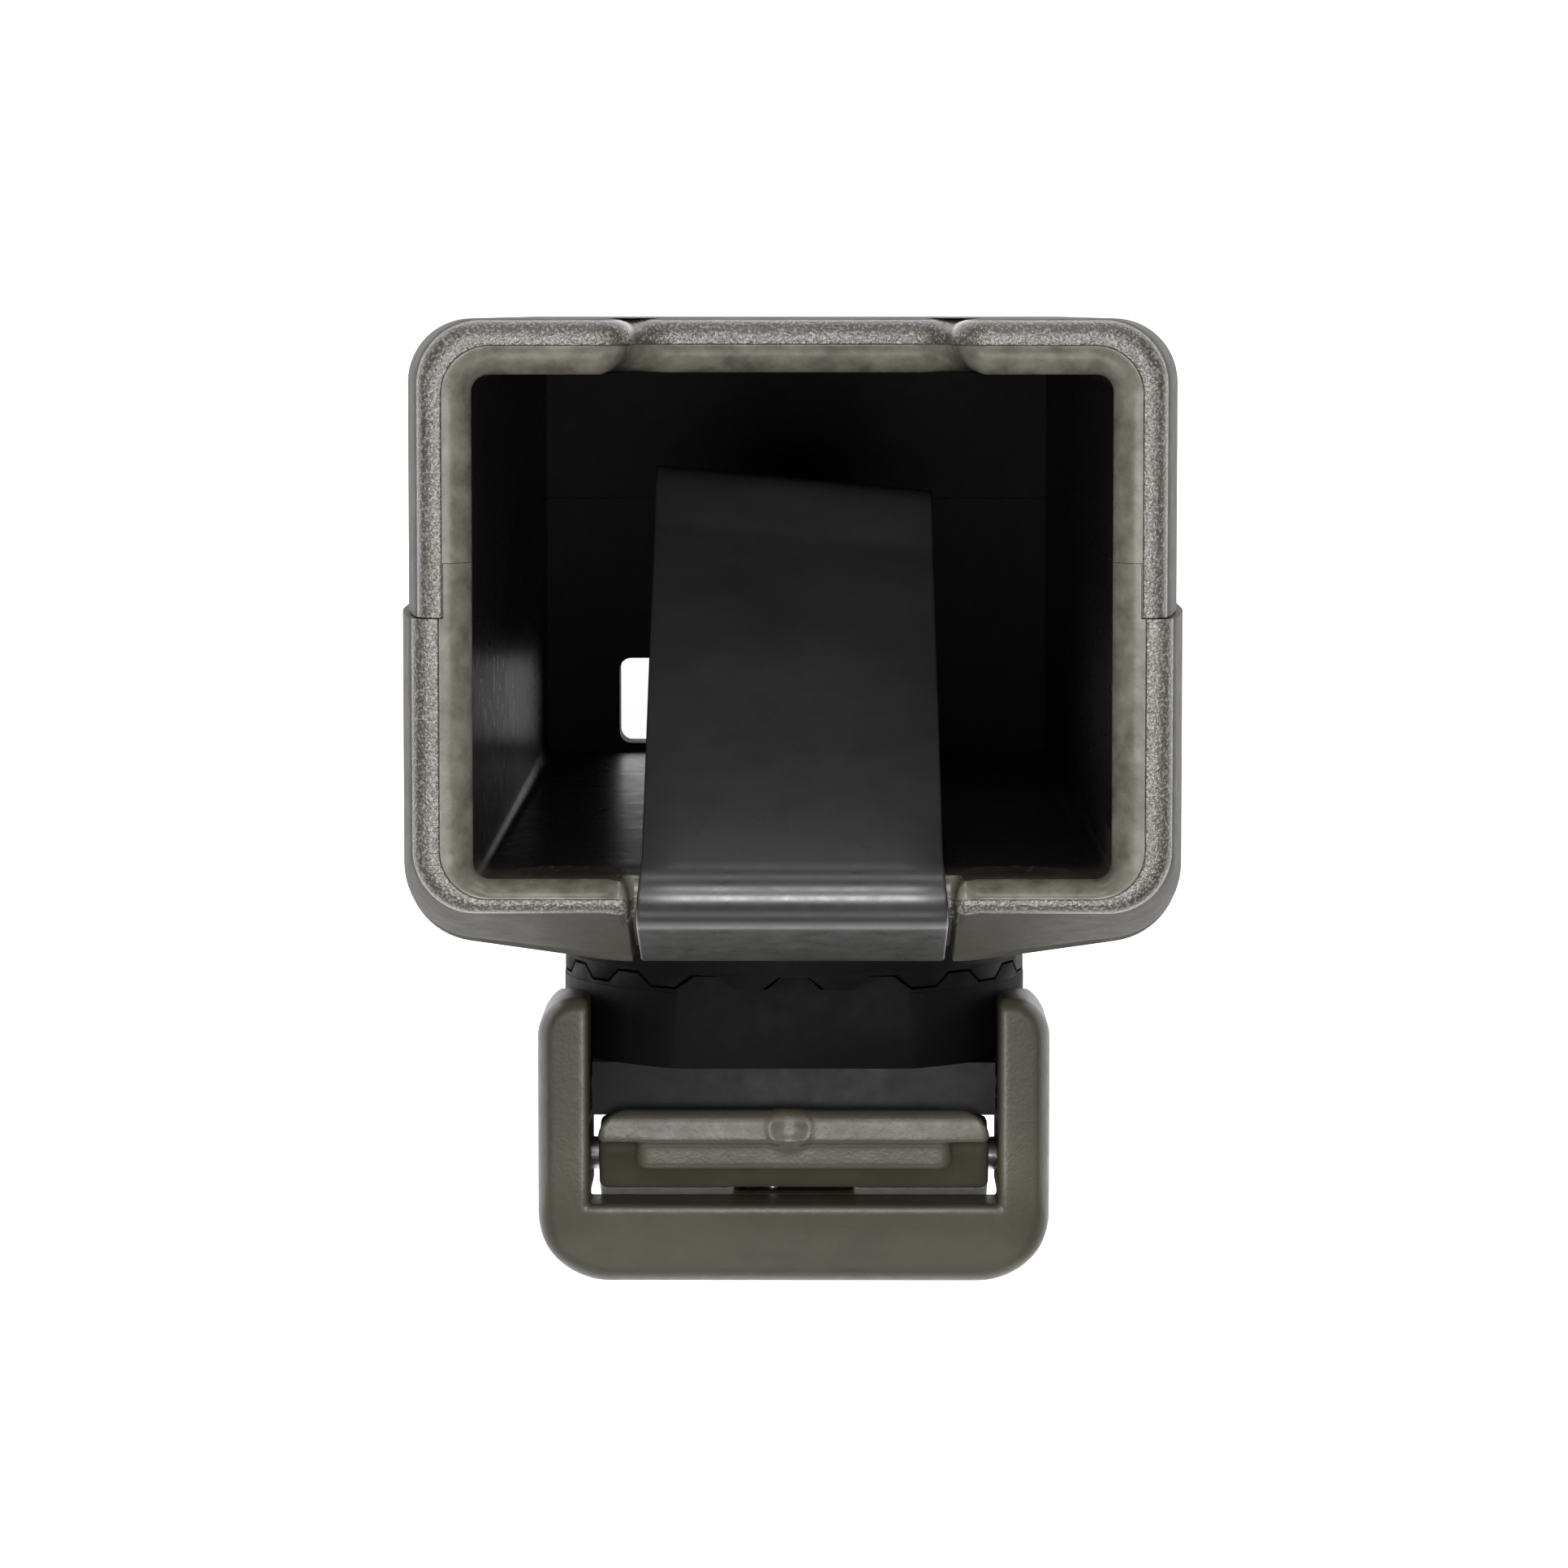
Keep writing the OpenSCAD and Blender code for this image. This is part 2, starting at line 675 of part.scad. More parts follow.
// The pocket for the bolt's head, the spring and the washer's keys
module head_pocket() {
  along_y(pocket_r, y_pocket, y_plate_back + over);
  reach = key_reach + key_end_gap;
  w = key_w + 2 * key_side_gap;
  translate([-reach, y_key, z_axis - w / 2]) cube([2 * reach, y_plate_back + over - y_key, w]);
}

module plate_screw_holes(r, y0, y1) {
  for (x = [-plate_screw_at, plate_screw_at], z = [-plate_screw_at, plate_screw_at])
    along_y(r, y0, y1, x, z_axis + z);
}

module clip_ring() color(black) difference() {
  on_axis() {
    translate([0, 0, y_clip_floor + face_relief]) cylinder(r = ring_r, h = clip_ring_t - face_relief);
    translate([0, 0, y_clip_floor]) mirror([0, 0, 1]) crown(0);
  }
  translate([-2 * ring_r, y_pouch_floor, z_top]) cube([4 * ring_r, y_plate, ring_r]);
  along_y(sleeve_r + set_gap, y_pouch_floor, y_plate);
  head_pocket();
  plate_screw_holes(screw_r + set_gap, y_plate_screw_end - set_gap, y_plate + over);
}

// ---- clip

module base_plate() color(black) difference() {
  h = z_plate_top - z_clip;
  translate([0, y_plate_back, z_clip]) rotate([90, 0, 0]) linear_extrude(plate_t) {
    translate([-x_plate, plate_corner_r]) square([2 * x_plate, h - plate_corner_r]);
    translate([-x_plate + plate_corner_r, 0]) square([2 * (x_plate - plate_corner_r), h]);
    for (s = [-1, 1]) translate([s * (x_plate - plate_corner_r), plate_corner_r]) circle(plate_corner_r);
  }
  head_pocket();
  plate_screw_holes(screw_r + screw_gap, y_plate - over, y_plate_back + over);
  plate_screw_holes(screw_head_r + screw_gap, y_plate_screw_head, y_plate_back + over);
  for (s = [-1, 1]) mirror([s < 0 ? 1 : 0, 0, 0])
    along_x(screw_r + set_gap, x_screw_end - set_gap, x_plate + over, frame_screw_y, frame_screw_z);
}

module plate_screws() color(steel) {
  for (x = [-plate_screw_at, plate_screw_at], z = [-plate_screw_at, plate_screw_at]) difference() {
    union() {
      along_y(screw_r, y_plate_screw_end, y_plate_screw_head + screw_head_h / 2, x, z_axis + z);
      along_y(screw_head_r, y_plate_screw_head, y_plate_screw_head + screw_head_h, x, z_axis + z);
    }
    screw_cross(x, z_axis + z, y_plate_screw_head + screw_head_h);
  }
}

module frame_plan() {
  y1 = y_bar + bar_t;
  translate([-x_frame, y_frame + shoulder_r]) square([2 * x_frame, y1 - y_frame - shoulder_r - frame_r]);
  translate([-x_frame + shoulder_r, y_frame]) square([2 * (x_frame - shoulder_r), y1 - y_frame - frame_r]);
  translate([-x_frame + frame_r, y_bar]) square([2 * (x_frame - frame_r), bar_t]);
  for (s = [-1, 1]) {
    translate([s * (x_frame - shoulder_r), y_frame + shoulder_r]) circle(shoulder_r);
    translate([s * (x_frame - frame_r), y1 - frame_r]) circle(frame_r);
  }
}

module clip_frame() color(olive) difference() {
  y1 = y_bar + bar_t;
  wide = 2 * (x_frame + over);
  translate([0, 0, z_frame]) linear_extrude(frame_h) frame_plan();
  translate([-x_frame_in, y_frame - over, z_frame - over])
    cube([frame_in_w, y_bar - y_frame + over, frame_h + 2 * over]);
  translate([-wide / 2, y_bar, z_frame - over]) cube([wide, bar_t + over, frame_h - bar_h + over]);
  // the bar's top falls away to the back, and the outer top edges are bevelled
  across(wide) polygon([
    [y_bar + bar_flat, z_top + over], [y_bar + bar_flat, z_top], [y1, z_top - bar_slope],
    [y1 + over, z_top - bar_slope], [y1 + over, z_top + over]
  ]);
  for (s = [-1, 1]) mirror([s < 0 ? 1 : 0, 0, 0]) {
    translate([0, y1 + over, 0]) rotate([90, 0, 0]) linear_extrude(y1 - y_frame + 2 * over) polygon([
      [x_frame - top_bevel, z_top], [x_frame + over, z_top],
      [x_frame + over, z_top - top_bevel - over / 2], [x_frame, z_top - top_bevel]
    ]);
    along_x(screw_r + screw_gap, x_frame_in - over, x_frame + over, frame_screw_y, frame_screw_z);
    along_x(screw_head_r + screw_gap, x_screw_seat, x_frame + over, frame_screw_y, frame_screw_z);
    along_x(pin_r + set_gap, x_frame_in - over, x_frame + over, pin_y, pin_z);
  }
  along_y(ring_r + ring_room, y_frame - over, y_plate + ring_room / 2);
}

module frame_screws() color(steel) {
  for (s = [-1, 1]) mirror([s < 0 ? 1 : 0, 0, 0]) difference() {
    union() {
      along_x(screw_r, x_screw_end, x_screw_seat + screw_head_h / 2, frame_screw_y, frame_screw_z);
      along_x(screw_head_r, x_screw_seat, x_screw_top, frame_screw_y, frame_screw_z);
    }
    translate([x_screw_top, frame_screw_y, frame_screw_z]) {
      cube([screw_head_h, cross_w, cross_l], center = true);
      cube([screw_head_h, cross_l, cross_w], center = true);
    }
  }
}

module lever_pin() color(steel) {
  along_x(pin_r, -x_screw_top, x_screw_top, pin_y, pin_z);
}

module lever_spring() color(steel) {
  turn = leg_up_angle + 360 * lever_turns - leg_down_angle;
  n = round(turn / lever_step);
  x0 = -lever_coil_pitch * turn / 720;
  at = function(a) lever_coil_r * [0, cos(a), sin(a)] + [0, pin_y, pin_z];
  along = function(a) [0, -sin(a), cos(a)];
  start = [x0, 0, 0];
  finish = [-x0, 0, 0];
  wire(concat(
    [start + at(leg_down_angle) - leg_down_l * along(leg_down_angle)],
    [for (i = [0:n]) let (a = leg_down_angle + turn * i / n)
      at(a) + [x0 + lever_coil_pitch * turn / 360 * i / n, 0, 0]],
    [finish + at(leg_up_angle) + leg_up_l * along(leg_up_angle)]
  ), lever_wire_r, [1, 0, 0]);
}

// The lever from the side: ridge, boss, arm and hook
module lever_outline() {
  z_lever = z_top - lever_top_drop;
  y_tip = y_plate_back + hook_gap;
  boss_at = function(a) [pin_y, pin_z] + polar(boss_r, a);
  polygon([
    [y_ridge, ridge_z + ridge_edge], [y_ridge, z_lever - ridge_edge], [y_ridge + ridge_edge, z_lever],
    [ridge_back, z_lever], [y_head_back, z_lever - ridge_fall], [y_head_back, z_top - bar_h],
    [y_arm_back, z_frame + ridge_edge],
    [y_arm_back, z_clip + hook_round], [y_arm_back - hook_round, z_clip],
    [y_tip + hook_round, z_clip], [y_tip, z_clip + hook_round], [y_tip, z_hook_top],
    [y_arm, z_hook_top], [y_arm, z_frame],
    boss_at(270), boss_at(225), boss_at(180), boss_at(135),
    [pin_y - neck, ridge_z - ridge_edge], [y_ridge + ridge_edge, ridge_z]
  ]);
}

// The thumb pad behind the ridge, from the side
module thumb_pad() {
  z = z_top - lever_top_drop;
  polygon([
    [ridge_back - ridge_edge, z - pad_top_drop], [pad_back, z - pad_top_drop], [pad_back, z - pad_low_drop]
  ]);
}

module lock_lever() color(olive) difference() {
  union() {
    across(2 * x_lever) lever_outline();
    across(pad_w) thumb_pad();
  }
  along_x(pin_r + run_gap, -x_lever - over, x_lever + over, pin_y, pin_z);
  // the room for the spring's coil, open to the front
  translate([-spring_room_w / 2, y_plate_back - over, pin_z - spring_room_z])
    cube([spring_room_w, y_bar - y_plate_back + over, 2 * spring_room_z]);
}

front_shell();
rear_shell();
leaf_leg();
leaf_bow();
pouch_ring();
ring_screws();
threaded_insert();
swivel_bolt();
keyed_washer();
swivel_spring();
bearing_sleeve();
clip_ring();
base_plate();
plate_screws();
clip_frame();
frame_screws();
lever_pin();
lever_spring();
lock_lever();
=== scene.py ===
"""Looks of the swivelling belt pouch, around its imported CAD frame. Lengths are in mm up to each mesh."""

import math

import bmesh
import bpy
import numpy as np
import openvdb
from mathutils import Matrix, Vector


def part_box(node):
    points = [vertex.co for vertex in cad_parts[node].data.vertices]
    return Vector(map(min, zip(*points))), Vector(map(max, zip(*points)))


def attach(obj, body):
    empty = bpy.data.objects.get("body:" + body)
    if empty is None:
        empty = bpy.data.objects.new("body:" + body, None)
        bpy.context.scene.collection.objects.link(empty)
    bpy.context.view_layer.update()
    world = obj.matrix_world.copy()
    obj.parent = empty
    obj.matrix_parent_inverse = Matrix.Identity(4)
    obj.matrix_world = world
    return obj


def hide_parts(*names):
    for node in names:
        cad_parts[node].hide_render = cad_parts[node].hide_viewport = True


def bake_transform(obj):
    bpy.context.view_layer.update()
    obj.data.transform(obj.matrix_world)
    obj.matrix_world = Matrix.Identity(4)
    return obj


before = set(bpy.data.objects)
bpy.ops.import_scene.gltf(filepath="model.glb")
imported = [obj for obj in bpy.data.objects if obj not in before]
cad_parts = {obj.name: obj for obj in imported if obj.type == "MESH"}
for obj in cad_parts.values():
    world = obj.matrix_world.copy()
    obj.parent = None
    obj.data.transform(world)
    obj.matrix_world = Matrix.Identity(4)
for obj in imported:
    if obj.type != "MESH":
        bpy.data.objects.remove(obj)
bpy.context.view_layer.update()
MM = 0.001


def node_box(node):
    """Lowest and highest corner of a CAD node, in mm."""
    low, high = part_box(node)
    return np.array(low) / MM, np.array(high) / MM


front_low, front_high = node_box("front_shell")
rear_high = node_box("rear_shell")[1]
leg_low, leg_high = node_box("leaf_leg")
bow_high = node_box("leaf_bow")[1]
clip_low, clip_high = node_box("clip_frame")
lever_low, lever_high = node_box("lock_lever")

# ---- sizes that the frame gives
Z_RIM = rear_high[2]
Y_FRONT = front_low[1]
Y_BACK = -Y_FRONT
Y_HUMP = rear_high[1]
BELLY = 0.95
X_FRONT = front_high[0] - BELLY
X_REAR = rear_high[0] - BELLY
WALL = 3.05
X_ROOM = X_FRONT - WALL
Y_ROOM_FRONT = Y_FRONT + 3.1
Y_ROOM_BACK = Y_BACK - 1.9
DRAFT = 1.0
ROOM_DRAFT = 0.5
FLOOR = 3.5
FOOT = 2.2
Z_CREASE = Z_RIM - 1.2
Z_PAD_TOP = Z_RIM - 12
Z_PAD_LOW = 34.85
AXIS_Z = 52.0
TONGUE = 3.0
LAP_X = X_ROOM + 1.5
SEAM_GAP = 0.04
LEAF_T = 0.9
CHANNEL_W = 9.05
NOTCH_Z = Z_RIM - 3.35
# how far from the middle the columns follow the rim's line over the dip and the slot
X_LINE = 12


def smoothstep(a, b, x):
    t = min(max((x - a) / (b - a), 0.0), 1.0)
    return t * t * (3 - 2 * t)


def lerp(a, b, t):
    return a + (b - a) * t


# ---- meshes
def make_object(name, verts, faces, materials=()):
    mesh = bpy.data.meshes.new(name)
    mesh.from_pydata([tuple(float(c) * MM for c in v) for v in verts], [], faces)
    mesh.update()
    obj = bpy.data.objects.new(name, mesh)
    bpy.context.scene.collection.objects.link(obj)
    for m in materials:
        mesh.materials.append(m)
    return obj


def tidy_normals(obj, triangulate_over=None):
    bm = bmesh.new()
    bm.from_mesh(obj.data)
    if triangulate_over:
        big = [f for f in bm.faces if len(f.verts) > triangulate_over]
        bmesh.ops.triangulate(bm, faces=big)
    bmesh.ops.recalc_face_normals(bm, faces=bm.faces)
    bm.to_mesh(obj.data)
    bm.free()


def smooth(obj, angle=35):
    obj.data.shade_smooth()
    obj.data.set_sharp_from_angle(angle=math.radians(angle))


def bake_modifiers(obj):
    """Replaces obj's mesh by what its modifiers make of it."""
    graph = bpy.context.evaluated_depsgraph_get()
    mesh = bpy.data.meshes.new_from_object(obj.evaluated_get(graph), depsgraph=graph)
    obj.modifiers.clear()
    obj.data = mesh


def cut(obj, cutter):
    m = obj.modifiers.new("cut", "BOOLEAN")
    m.operation = "DIFFERENCE"
    m.solver = "EXACT"
    m.object = cutter
    bpy.context.view_layer.update()
    bake_modifiers(obj)
    bpy.data.objects.remove(cutter)


def prism(name, outline, lo, hi, axis):
    """A closed prism of a 2-D outline, whose numbers fill the two other axes in order, from lo to hi."""
    n = len(outline)
    verts = []
    for h in (lo, hi):
        for p in outline:
            v = list(p)
            v.insert(axis, h)
            verts.append(v)
    faces = [tuple(range(n)), tuple(range(2 * n - 1, n - 1, -1))]
    faces += [(i, (i + 1) % n, n + (i + 1) % n, n + i) for i in range(n)]
    obj = make_object(name, verts, faces)
    tidy_normals(obj, 4)
    return obj


def box_outline(x0, x1, y0, y1, r=0.0, steps=6):
    if not r:
        return [(x0, y0), (x1, y0), (x1, y1), (x0, y1)]
    out = []
    corners = ((x1 - r, y0 + r, -90), (x1 - r, y1 - r, 0), (x0 + r, y1 - r, 90), (x0 + r, y0 + r, 180))
    for cx, cy, a0 in corners:
        for k in range(steps + 1):
            a = math.radians(a0 + 90 * k / steps)
            out.append((cx + r * math.cos(a), cy + r * math.sin(a)))
    return out


def circle(cx, cy, r, n=40):
    turns = [2 * math.pi * k / n for k in range(n)]
    return [(cx + r * math.cos(a), cy + r * math.sin(a)) for a in turns]


# ---- materials
# the colour sockets of a Mix node
MIX_FACTOR, MIX_A, MIX_B, MIX_RESULT = 0, 6, 7, 2


def new_material(name):
    m = bpy.data.materials.new(name)
    m.use_nodes = True
    tree = m.node_tree
    shader = tree.nodes["Principled BSDF"]
    return m, tree, shader


def add(tree, kind, **values):
    n = tree.nodes.new(kind)
    for key, value in values.items():
        if key in n.inputs:
            n.inputs[key].default_value = value
        else:
            setattr(n, key, value)
    return n


def noise(tree, coord, size_mm, detail=2.0, rough=0.5):
    n = add(tree, "ShaderNodeTexNoise")
    n.inputs["Scale"].default_value = 1 / (size_mm * MM)
    n.inputs["Detail"].default_value = detail
    n.inputs["Roughness"].default_value = rough
    tree.links.new(coord, n.inputs["Vector"])
    return n.outputs["Fac"]


def ramp(tree, fac, stops):
    n = add(tree, "ShaderNodeValToRGB")
    cr = n.color_ramp
    while len(cr.elements) > len(stops):
        cr.elements.remove(cr.elements[-1])
    while len(cr.elements) < len(stops):
        cr.elements.new(0.5)
    for e, (at, colour) in zip(cr.elements, stops):
        e.position = at
        e.color = (*colour, 1) if not isinstance(colour, float) else (colour, colour, colour, 1)
    tree.links.new(fac, n.inputs["Fac"])
    return n.outputs["Color"]


def bump(tree, height, strength, distance_mm, normal=None):
    n = add(tree, "ShaderNodeBump")
    n.inputs["Strength"].default_value = strength
    n.inputs["Distance"].default_value = distance_mm * MM
    tree.links.new(height, n.inputs["Height"])
    if normal is not None:
        tree.links.new(normal, n.inputs["Normal"])
    return n.outputs["Normal"]


def surface(name, dark, light, roughs, grains, specular=0.5, metallic=0.0, blotch_mm=9.0, painted_glints=None):
    """A procedural finish: colour between dark and light in soft blotches, roughness between roughs, grains
    of (size mm, bump strength, bump height mm), and a last argument of light flecks painted into the base
    colour as a painted highlight for glints: (size mm, lightness, where the flecks begin)."""
    m, tree, shader = new_material(name)
    coord = add(tree, "ShaderNodeTexCoord").outputs["Object"]
    blotch = noise(tree, coord, blotch_mm, 4.0, 0.6)
    colour = ramp(tree, blotch, [(0.3, dark), (0.7, light)])
    # painted highlight: light flecks mixed into the base colour stand for glints of sparkle
    if painted_glints:
        size, lightness, start = painted_glints
        mask = ramp(tree, noise(tree, coord, size, 1.0, 0.5), [(start, 0.0), (start + 0.16, 1.0)])
        mix = add(tree, "ShaderNodeMix", data_type="RGBA")
        tree.links.new(mask, mix.inputs[MIX_FACTOR])
        tree.links.new(colour, mix.inputs[MIX_A])
        mix.inputs[MIX_B].default_value = (lightness, lightness * 0.97, lightness * 0.9, 1)
        colour = mix.outputs[MIX_RESULT]
    tree.links.new(colour, shader.inputs["Base Color"])
    smear = noise(tree, coord, 1.4, 4.0, 0.65)
    tree.links.new(ramp(tree, smear, [(0.3, roughs[0]), (0.7, roughs[1])]), shader.inputs["Roughness"])
    normal = None
    for size, strength, height in grains:
        normal = bump(tree, noise(tree, coord, size, 2.0, 0.6), strength, height, normal)
    if normal is not None:
        tree.links.new(normal, shader.inputs["Normal"])
    shader.inputs["Specular IOR Level"].default_value = specular
    shader.inputs["Metallic"].default_value = metallic
    return m, tree, shader


def grey(value):
    return (value, value, value)


def lit_lip_material():
    """Olive near the rim, fading to black further down the room's rear wall: painted shade, darker deeper in
    the room.
    """
    grain = [(0.5, 0.3, 0.02)]
    material, tree, shader = surface("room_lip_painted_shade", OLIVE_SHADE, OLIVE_SHADE_LIGHT, (0.3, 0.4), grain, 0.4)
    height = add(tree, "ShaderNodeSeparateXYZ")
    tree.links.new(tree.nodes["Texture Coordinate"].outputs["Object"], height.inputs[0])
    fade = add(tree, "ShaderNodeMapRange", interpolation_type="SMOOTHSTEP")
    fade.inputs["From Min"].default_value = (Z_RIM - 10.5) * MM
    fade.inputs["From Max"].default_value = (Z_RIM - 4) * MM
    tree.links.new(height.outputs["Z"], fade.inputs[0])
    # painted shade: black down the wall, blending into the olive near the rim
    mix = add(tree, "ShaderNodeMix", data_type="RGBA")
    mix.inputs[MIX_A].default_value = (*grey(0.008), 1)
    olive = shader.inputs["Base Color"].links[0].from_socket
    tree.links.new(fade.outputs[0], mix.inputs[MIX_FACTOR])
    tree.links.new(olive, mix.inputs[MIX_B])
    tree.links.new(mix.outputs[MIX_RESULT], shader.inputs["Base Color"])
    return material


OLIVE_SHADE = (0.042, 0.037, 0.026)
OLIVE_SHADE_LIGHT = (0.058, 0.052, 0.037)
SIDE_GRAIN = [(0.45, 0.45, 0.05), (0.2, 0.4, 0.03)]
RIM_SPARKLE = [(0.5, 0.4, 0.06), (0.2, 1.0, 0.07)]
SATIN_GRAIN = [(0.5, 0.4, 0.05), (0.2, 0.4, 0.03)]
# the sides' matt finish: rougher and less shiny than the satin, and a darker base colour of the same olive
# that is painted shade
olive_side_painted_shade = surface("olive_side_painted_shade", (0.032, 0.028, 0.019), OLIVE_SHADE, (0.5, 0.6), SIDE_GRAIN, 0.12)[0]
# the rim's finish: a sparkling grain of bumps, plus light flecks in its base colour as painted highlight for
# glints
olive_rim_painted_glints = surface(
    "olive_rim_painted_glints", OLIVE_SHADE, OLIVE_SHADE_LIGHT, (0.26, 0.34), RIM_SPARKLE, 0.7, painted_glints=(0.17, 0.17, 0.5)
)[0]
olive_satin = surface("olive_satin", OLIVE_SHADE, OLIVE_SHADE_LIGHT, (0.36, 0.46), SATIN_GRAIN, 0.4)[0]
# the lead-in's smooth finish, with painted reflection: its base colour is far lighter than the olive,
# standing for the light the smooth faces reflect
SMOOTH_GRAIN = [(0.5, 0.35, 0.03)]
olive_smooth_painted_sheen = surface(
    "olive_smooth_painted_sheen", (0.070, 0.065, 0.050), (0.170, 0.160, 0.132), (0.22, 0.32), SMOOTH_GRAIN, blotch_mm=1.6
)[0]
# painted shade: the room's walls and floor are near-black for the shade deep inside the pouch
room_painted_shade = surface("room_painted_shade", (0.010, 0.010, 0.011), (0.013, 0.013, 0.014), (0.26, 0.34), [], 0.35)[0]
room_floor_painted_shade = surface("room_floor_painted_shade", grey(0.006), grey(0.008), (0.75, 0.85), [(0.3, 0.2, 0.02)], 0.1)[0]
room_lip_painted_shade = lit_lip_material()
black_polymer = surface("black_satin", grey(0.005), grey(0.008), (0.52, 0.64), [(0.14, 0.35, 0.02)], 0.25)[0]
black_ring = surface("black_matt", grey(0.0015), grey(0.003), (0.6, 0.7), [(0.2, 0.35, 0.02)], 0.1)[0]
steel_black = surface("black_phosphate", grey(0.020), grey(0.030), (0.26, 0.36), [(0.10, 0.25, 0.010)])[0]
zinc = surface(
    "zinc_plate", (0.42, 0.42, 0.43), (0.55, 0.55, 0.56), (0.28, 0.42), [(0.3, 0.2, 0.01)], metallic=1.0
)[0]
wire_steel = surface(
    "spring_wire", (0.36, 0.36, 0.37), (0.48, 0.48, 0.49), (0.22, 0.34), [(0.2, 0.2, 0.008)], metallic=1.0
)[0]
brass = surface(
    "turned_brass", (0.60, 0.42, 0.17), (0.70, 0.52, 0.24), (0.24, 0.38), [(0.2, 0.2, 0.01)], metallic=1.0
)[0]


# ---- the pouch's two shells: a wall profile carried round half of the mouth
# inset from the outer face and depth below the rim, over the rounded edge, the lap's line and the lead-in
RIM = [
    (0.0, 1.75), (0.03, 1.3), (0.1, 0.88), (0.22, 0.52), (0.38, 0.28), (0.6, 0.11), (0.86, 0.02), (1.2, 0.0),
    (1.42, 0.04), (1.47, 0.12), (1.50, 0.19), (1.56, 0.2), (1.75, 0.26), (2.05, 0.42), (2.35, 0.66),
    (2.62, 0.95), (2.83, 1.25), (2.96, 1.5), (3.03, 1.68), (WALL, 1.8),
]
# the rows of RIM that have the sparkling grain
RIM_GRAIN = (2, 9)


def belly(z):
    """How far a side stands out at height z."""
    t = min(max((Z_CREASE + 0.4 - z) / 10.4, 0.0), 1.0)
    return BELLY * math.sin(t * math.pi / 2)


def foot_inset(z):
    return FOOT - math.sqrt(max(FOOT**2 - max(FOOT - z, 0) ** 2, 0.0))


def front_outer(col, z, x):
    inset = foot_inset(z)
    half = X_FRONT + belly(z) - inset
    y_face = Y_FRONT + (1 - z / Z_RIM) * DRAFT + inset
    r = 3.6 - inset * 0.6
    if col["mode"] == "side":
        return half, lerp(-SEAM_GAP, y_face + r, col["a"])
    if col["mode"] == "corner":
        a = math.radians(90 * col["a"])
        return half - r + r * math.cos(a), y_face + r - r * math.sin(a)
    if x is not None:
        return x, y_face
    return lerp(half - r, X_LINE, col["a"]), y_face


def front_inner(col, z, x):
    half = X_ROOM - ROOM_DRAFT * (1 - z / Z_RIM)
    y_face = Y_ROOM_FRONT + (1 - z / Z_RIM) * DRAFT
    r = 0.9 + 0.8 * smoothstep(-2.2, 0, z - Z_RIM)
    if col["mode"] == "side":
        return half, lerp(-SEAM_GAP, y_face + r, col["a"])
    if col["mode"] == "corner":
        a = math.radians(90 * col["a"])
        return half - r + r * math.cos(a), y_face + r - r * math.sin(a)
    if x is not None:
        return x, y_face
    return lerp(half - r, X_LINE, col["a"]), y_face


PAD_FALL = 1.15
PAD_R = 4.2
PAD_FLAT = 10.0


def rear_outer(col, z, x):
    inset = foot_inset(z)
    half = X_REAR + belly(z) - inset
    up = min(max((Z_CREASE - z) / (Z_CREASE - Z_PAD_TOP), 0), 1)
    up = up - 0.06 * smoothstep(0.8, 1, up) * (1 - smoothstep(0.985, 1, up))
    low = smoothstep(FOOT, Z_PAD_LOW + 6, z) if z < Z_PAD_LOW + 6 else 1
    t = up * low
    back = Y_BACK + 0.6 * (1 - low) - inset
    r = 3.6 - inset * 0.6
    cx, cy = half - PAD_R, Y_HUMP - inset - PAD_FALL - PAD_R
    vx, vy = PAD_FLAT - cx, PAD_FALL + PAD_R
    turn = math.atan2(vy, vx) - math.acos(PAD_R / math.hypot(vx, vy))
    a = col["a"]
    if col["mode"] == "side":
        return half, lerp(-TONGUE, lerp(back - r, cy, t), a)
    if col["mode"] == "corner":
        b, c = math.pi / 2 * a, turn * a
        p = (half - r + r * math.cos(b), back - r + r * math.sin(b))
        q = (cx + PAD_R * math.cos(c), cy + PAD_R * math.sin(c))
        return lerp(p[0], q[0], t), lerp(p[1], q[1], t)
    if col["mode"] == "fall":
        p = (lerp(half - r, X_LINE, a), back)
        qx = lerp(cx + PAD_R * math.cos(turn), X_LINE, a)
        q = (qx, pad_y(qx, cx, cy, turn, inset))
        return lerp(p[0], q[0], t), lerp(p[1], q[1], t)
    full = lerp(back, pad_y(abs(x), cx, cy, turn, inset), t)
    ledge = 1 - smoothstep(CHANNEL_W - 0.1, CHANNEL_W + 0.16, abs(x))
    top = 1 - smoothstep(NOTCH_Z - 0.1, NOTCH_Z + 0.4, z)
    floor = smoothstep(leg_low[2] - 0.25, leg_low[2] - 0.05, z)
    slope = Y_HUMP - LEAF_T - max(z - Z_PAD_TOP, 0) * 0.2946
    return x, lerp(full, min(full, slope), ledge * top * floor)


def pad_y(x, cx, cy, turn, inset):
    """The pad's back face at x: flat in the middle, then falling softly to its corner's round."""
    end_x, end_y = cx + PAD_R * math.cos(turn), cy + PAD_R * math.sin(turn)
    k = (Y_HUMP - inset - end_y) / (end_x - PAD_FLAT)
    soft = 1.2
    d = x - PAD_FLAT
    if d < -soft:
        return Y_HUMP - inset
    if d < soft:
        return Y_HUMP - inset - k * (d + soft) ** 2 / (4 * soft)
    return Y_HUMP - inset - k * d


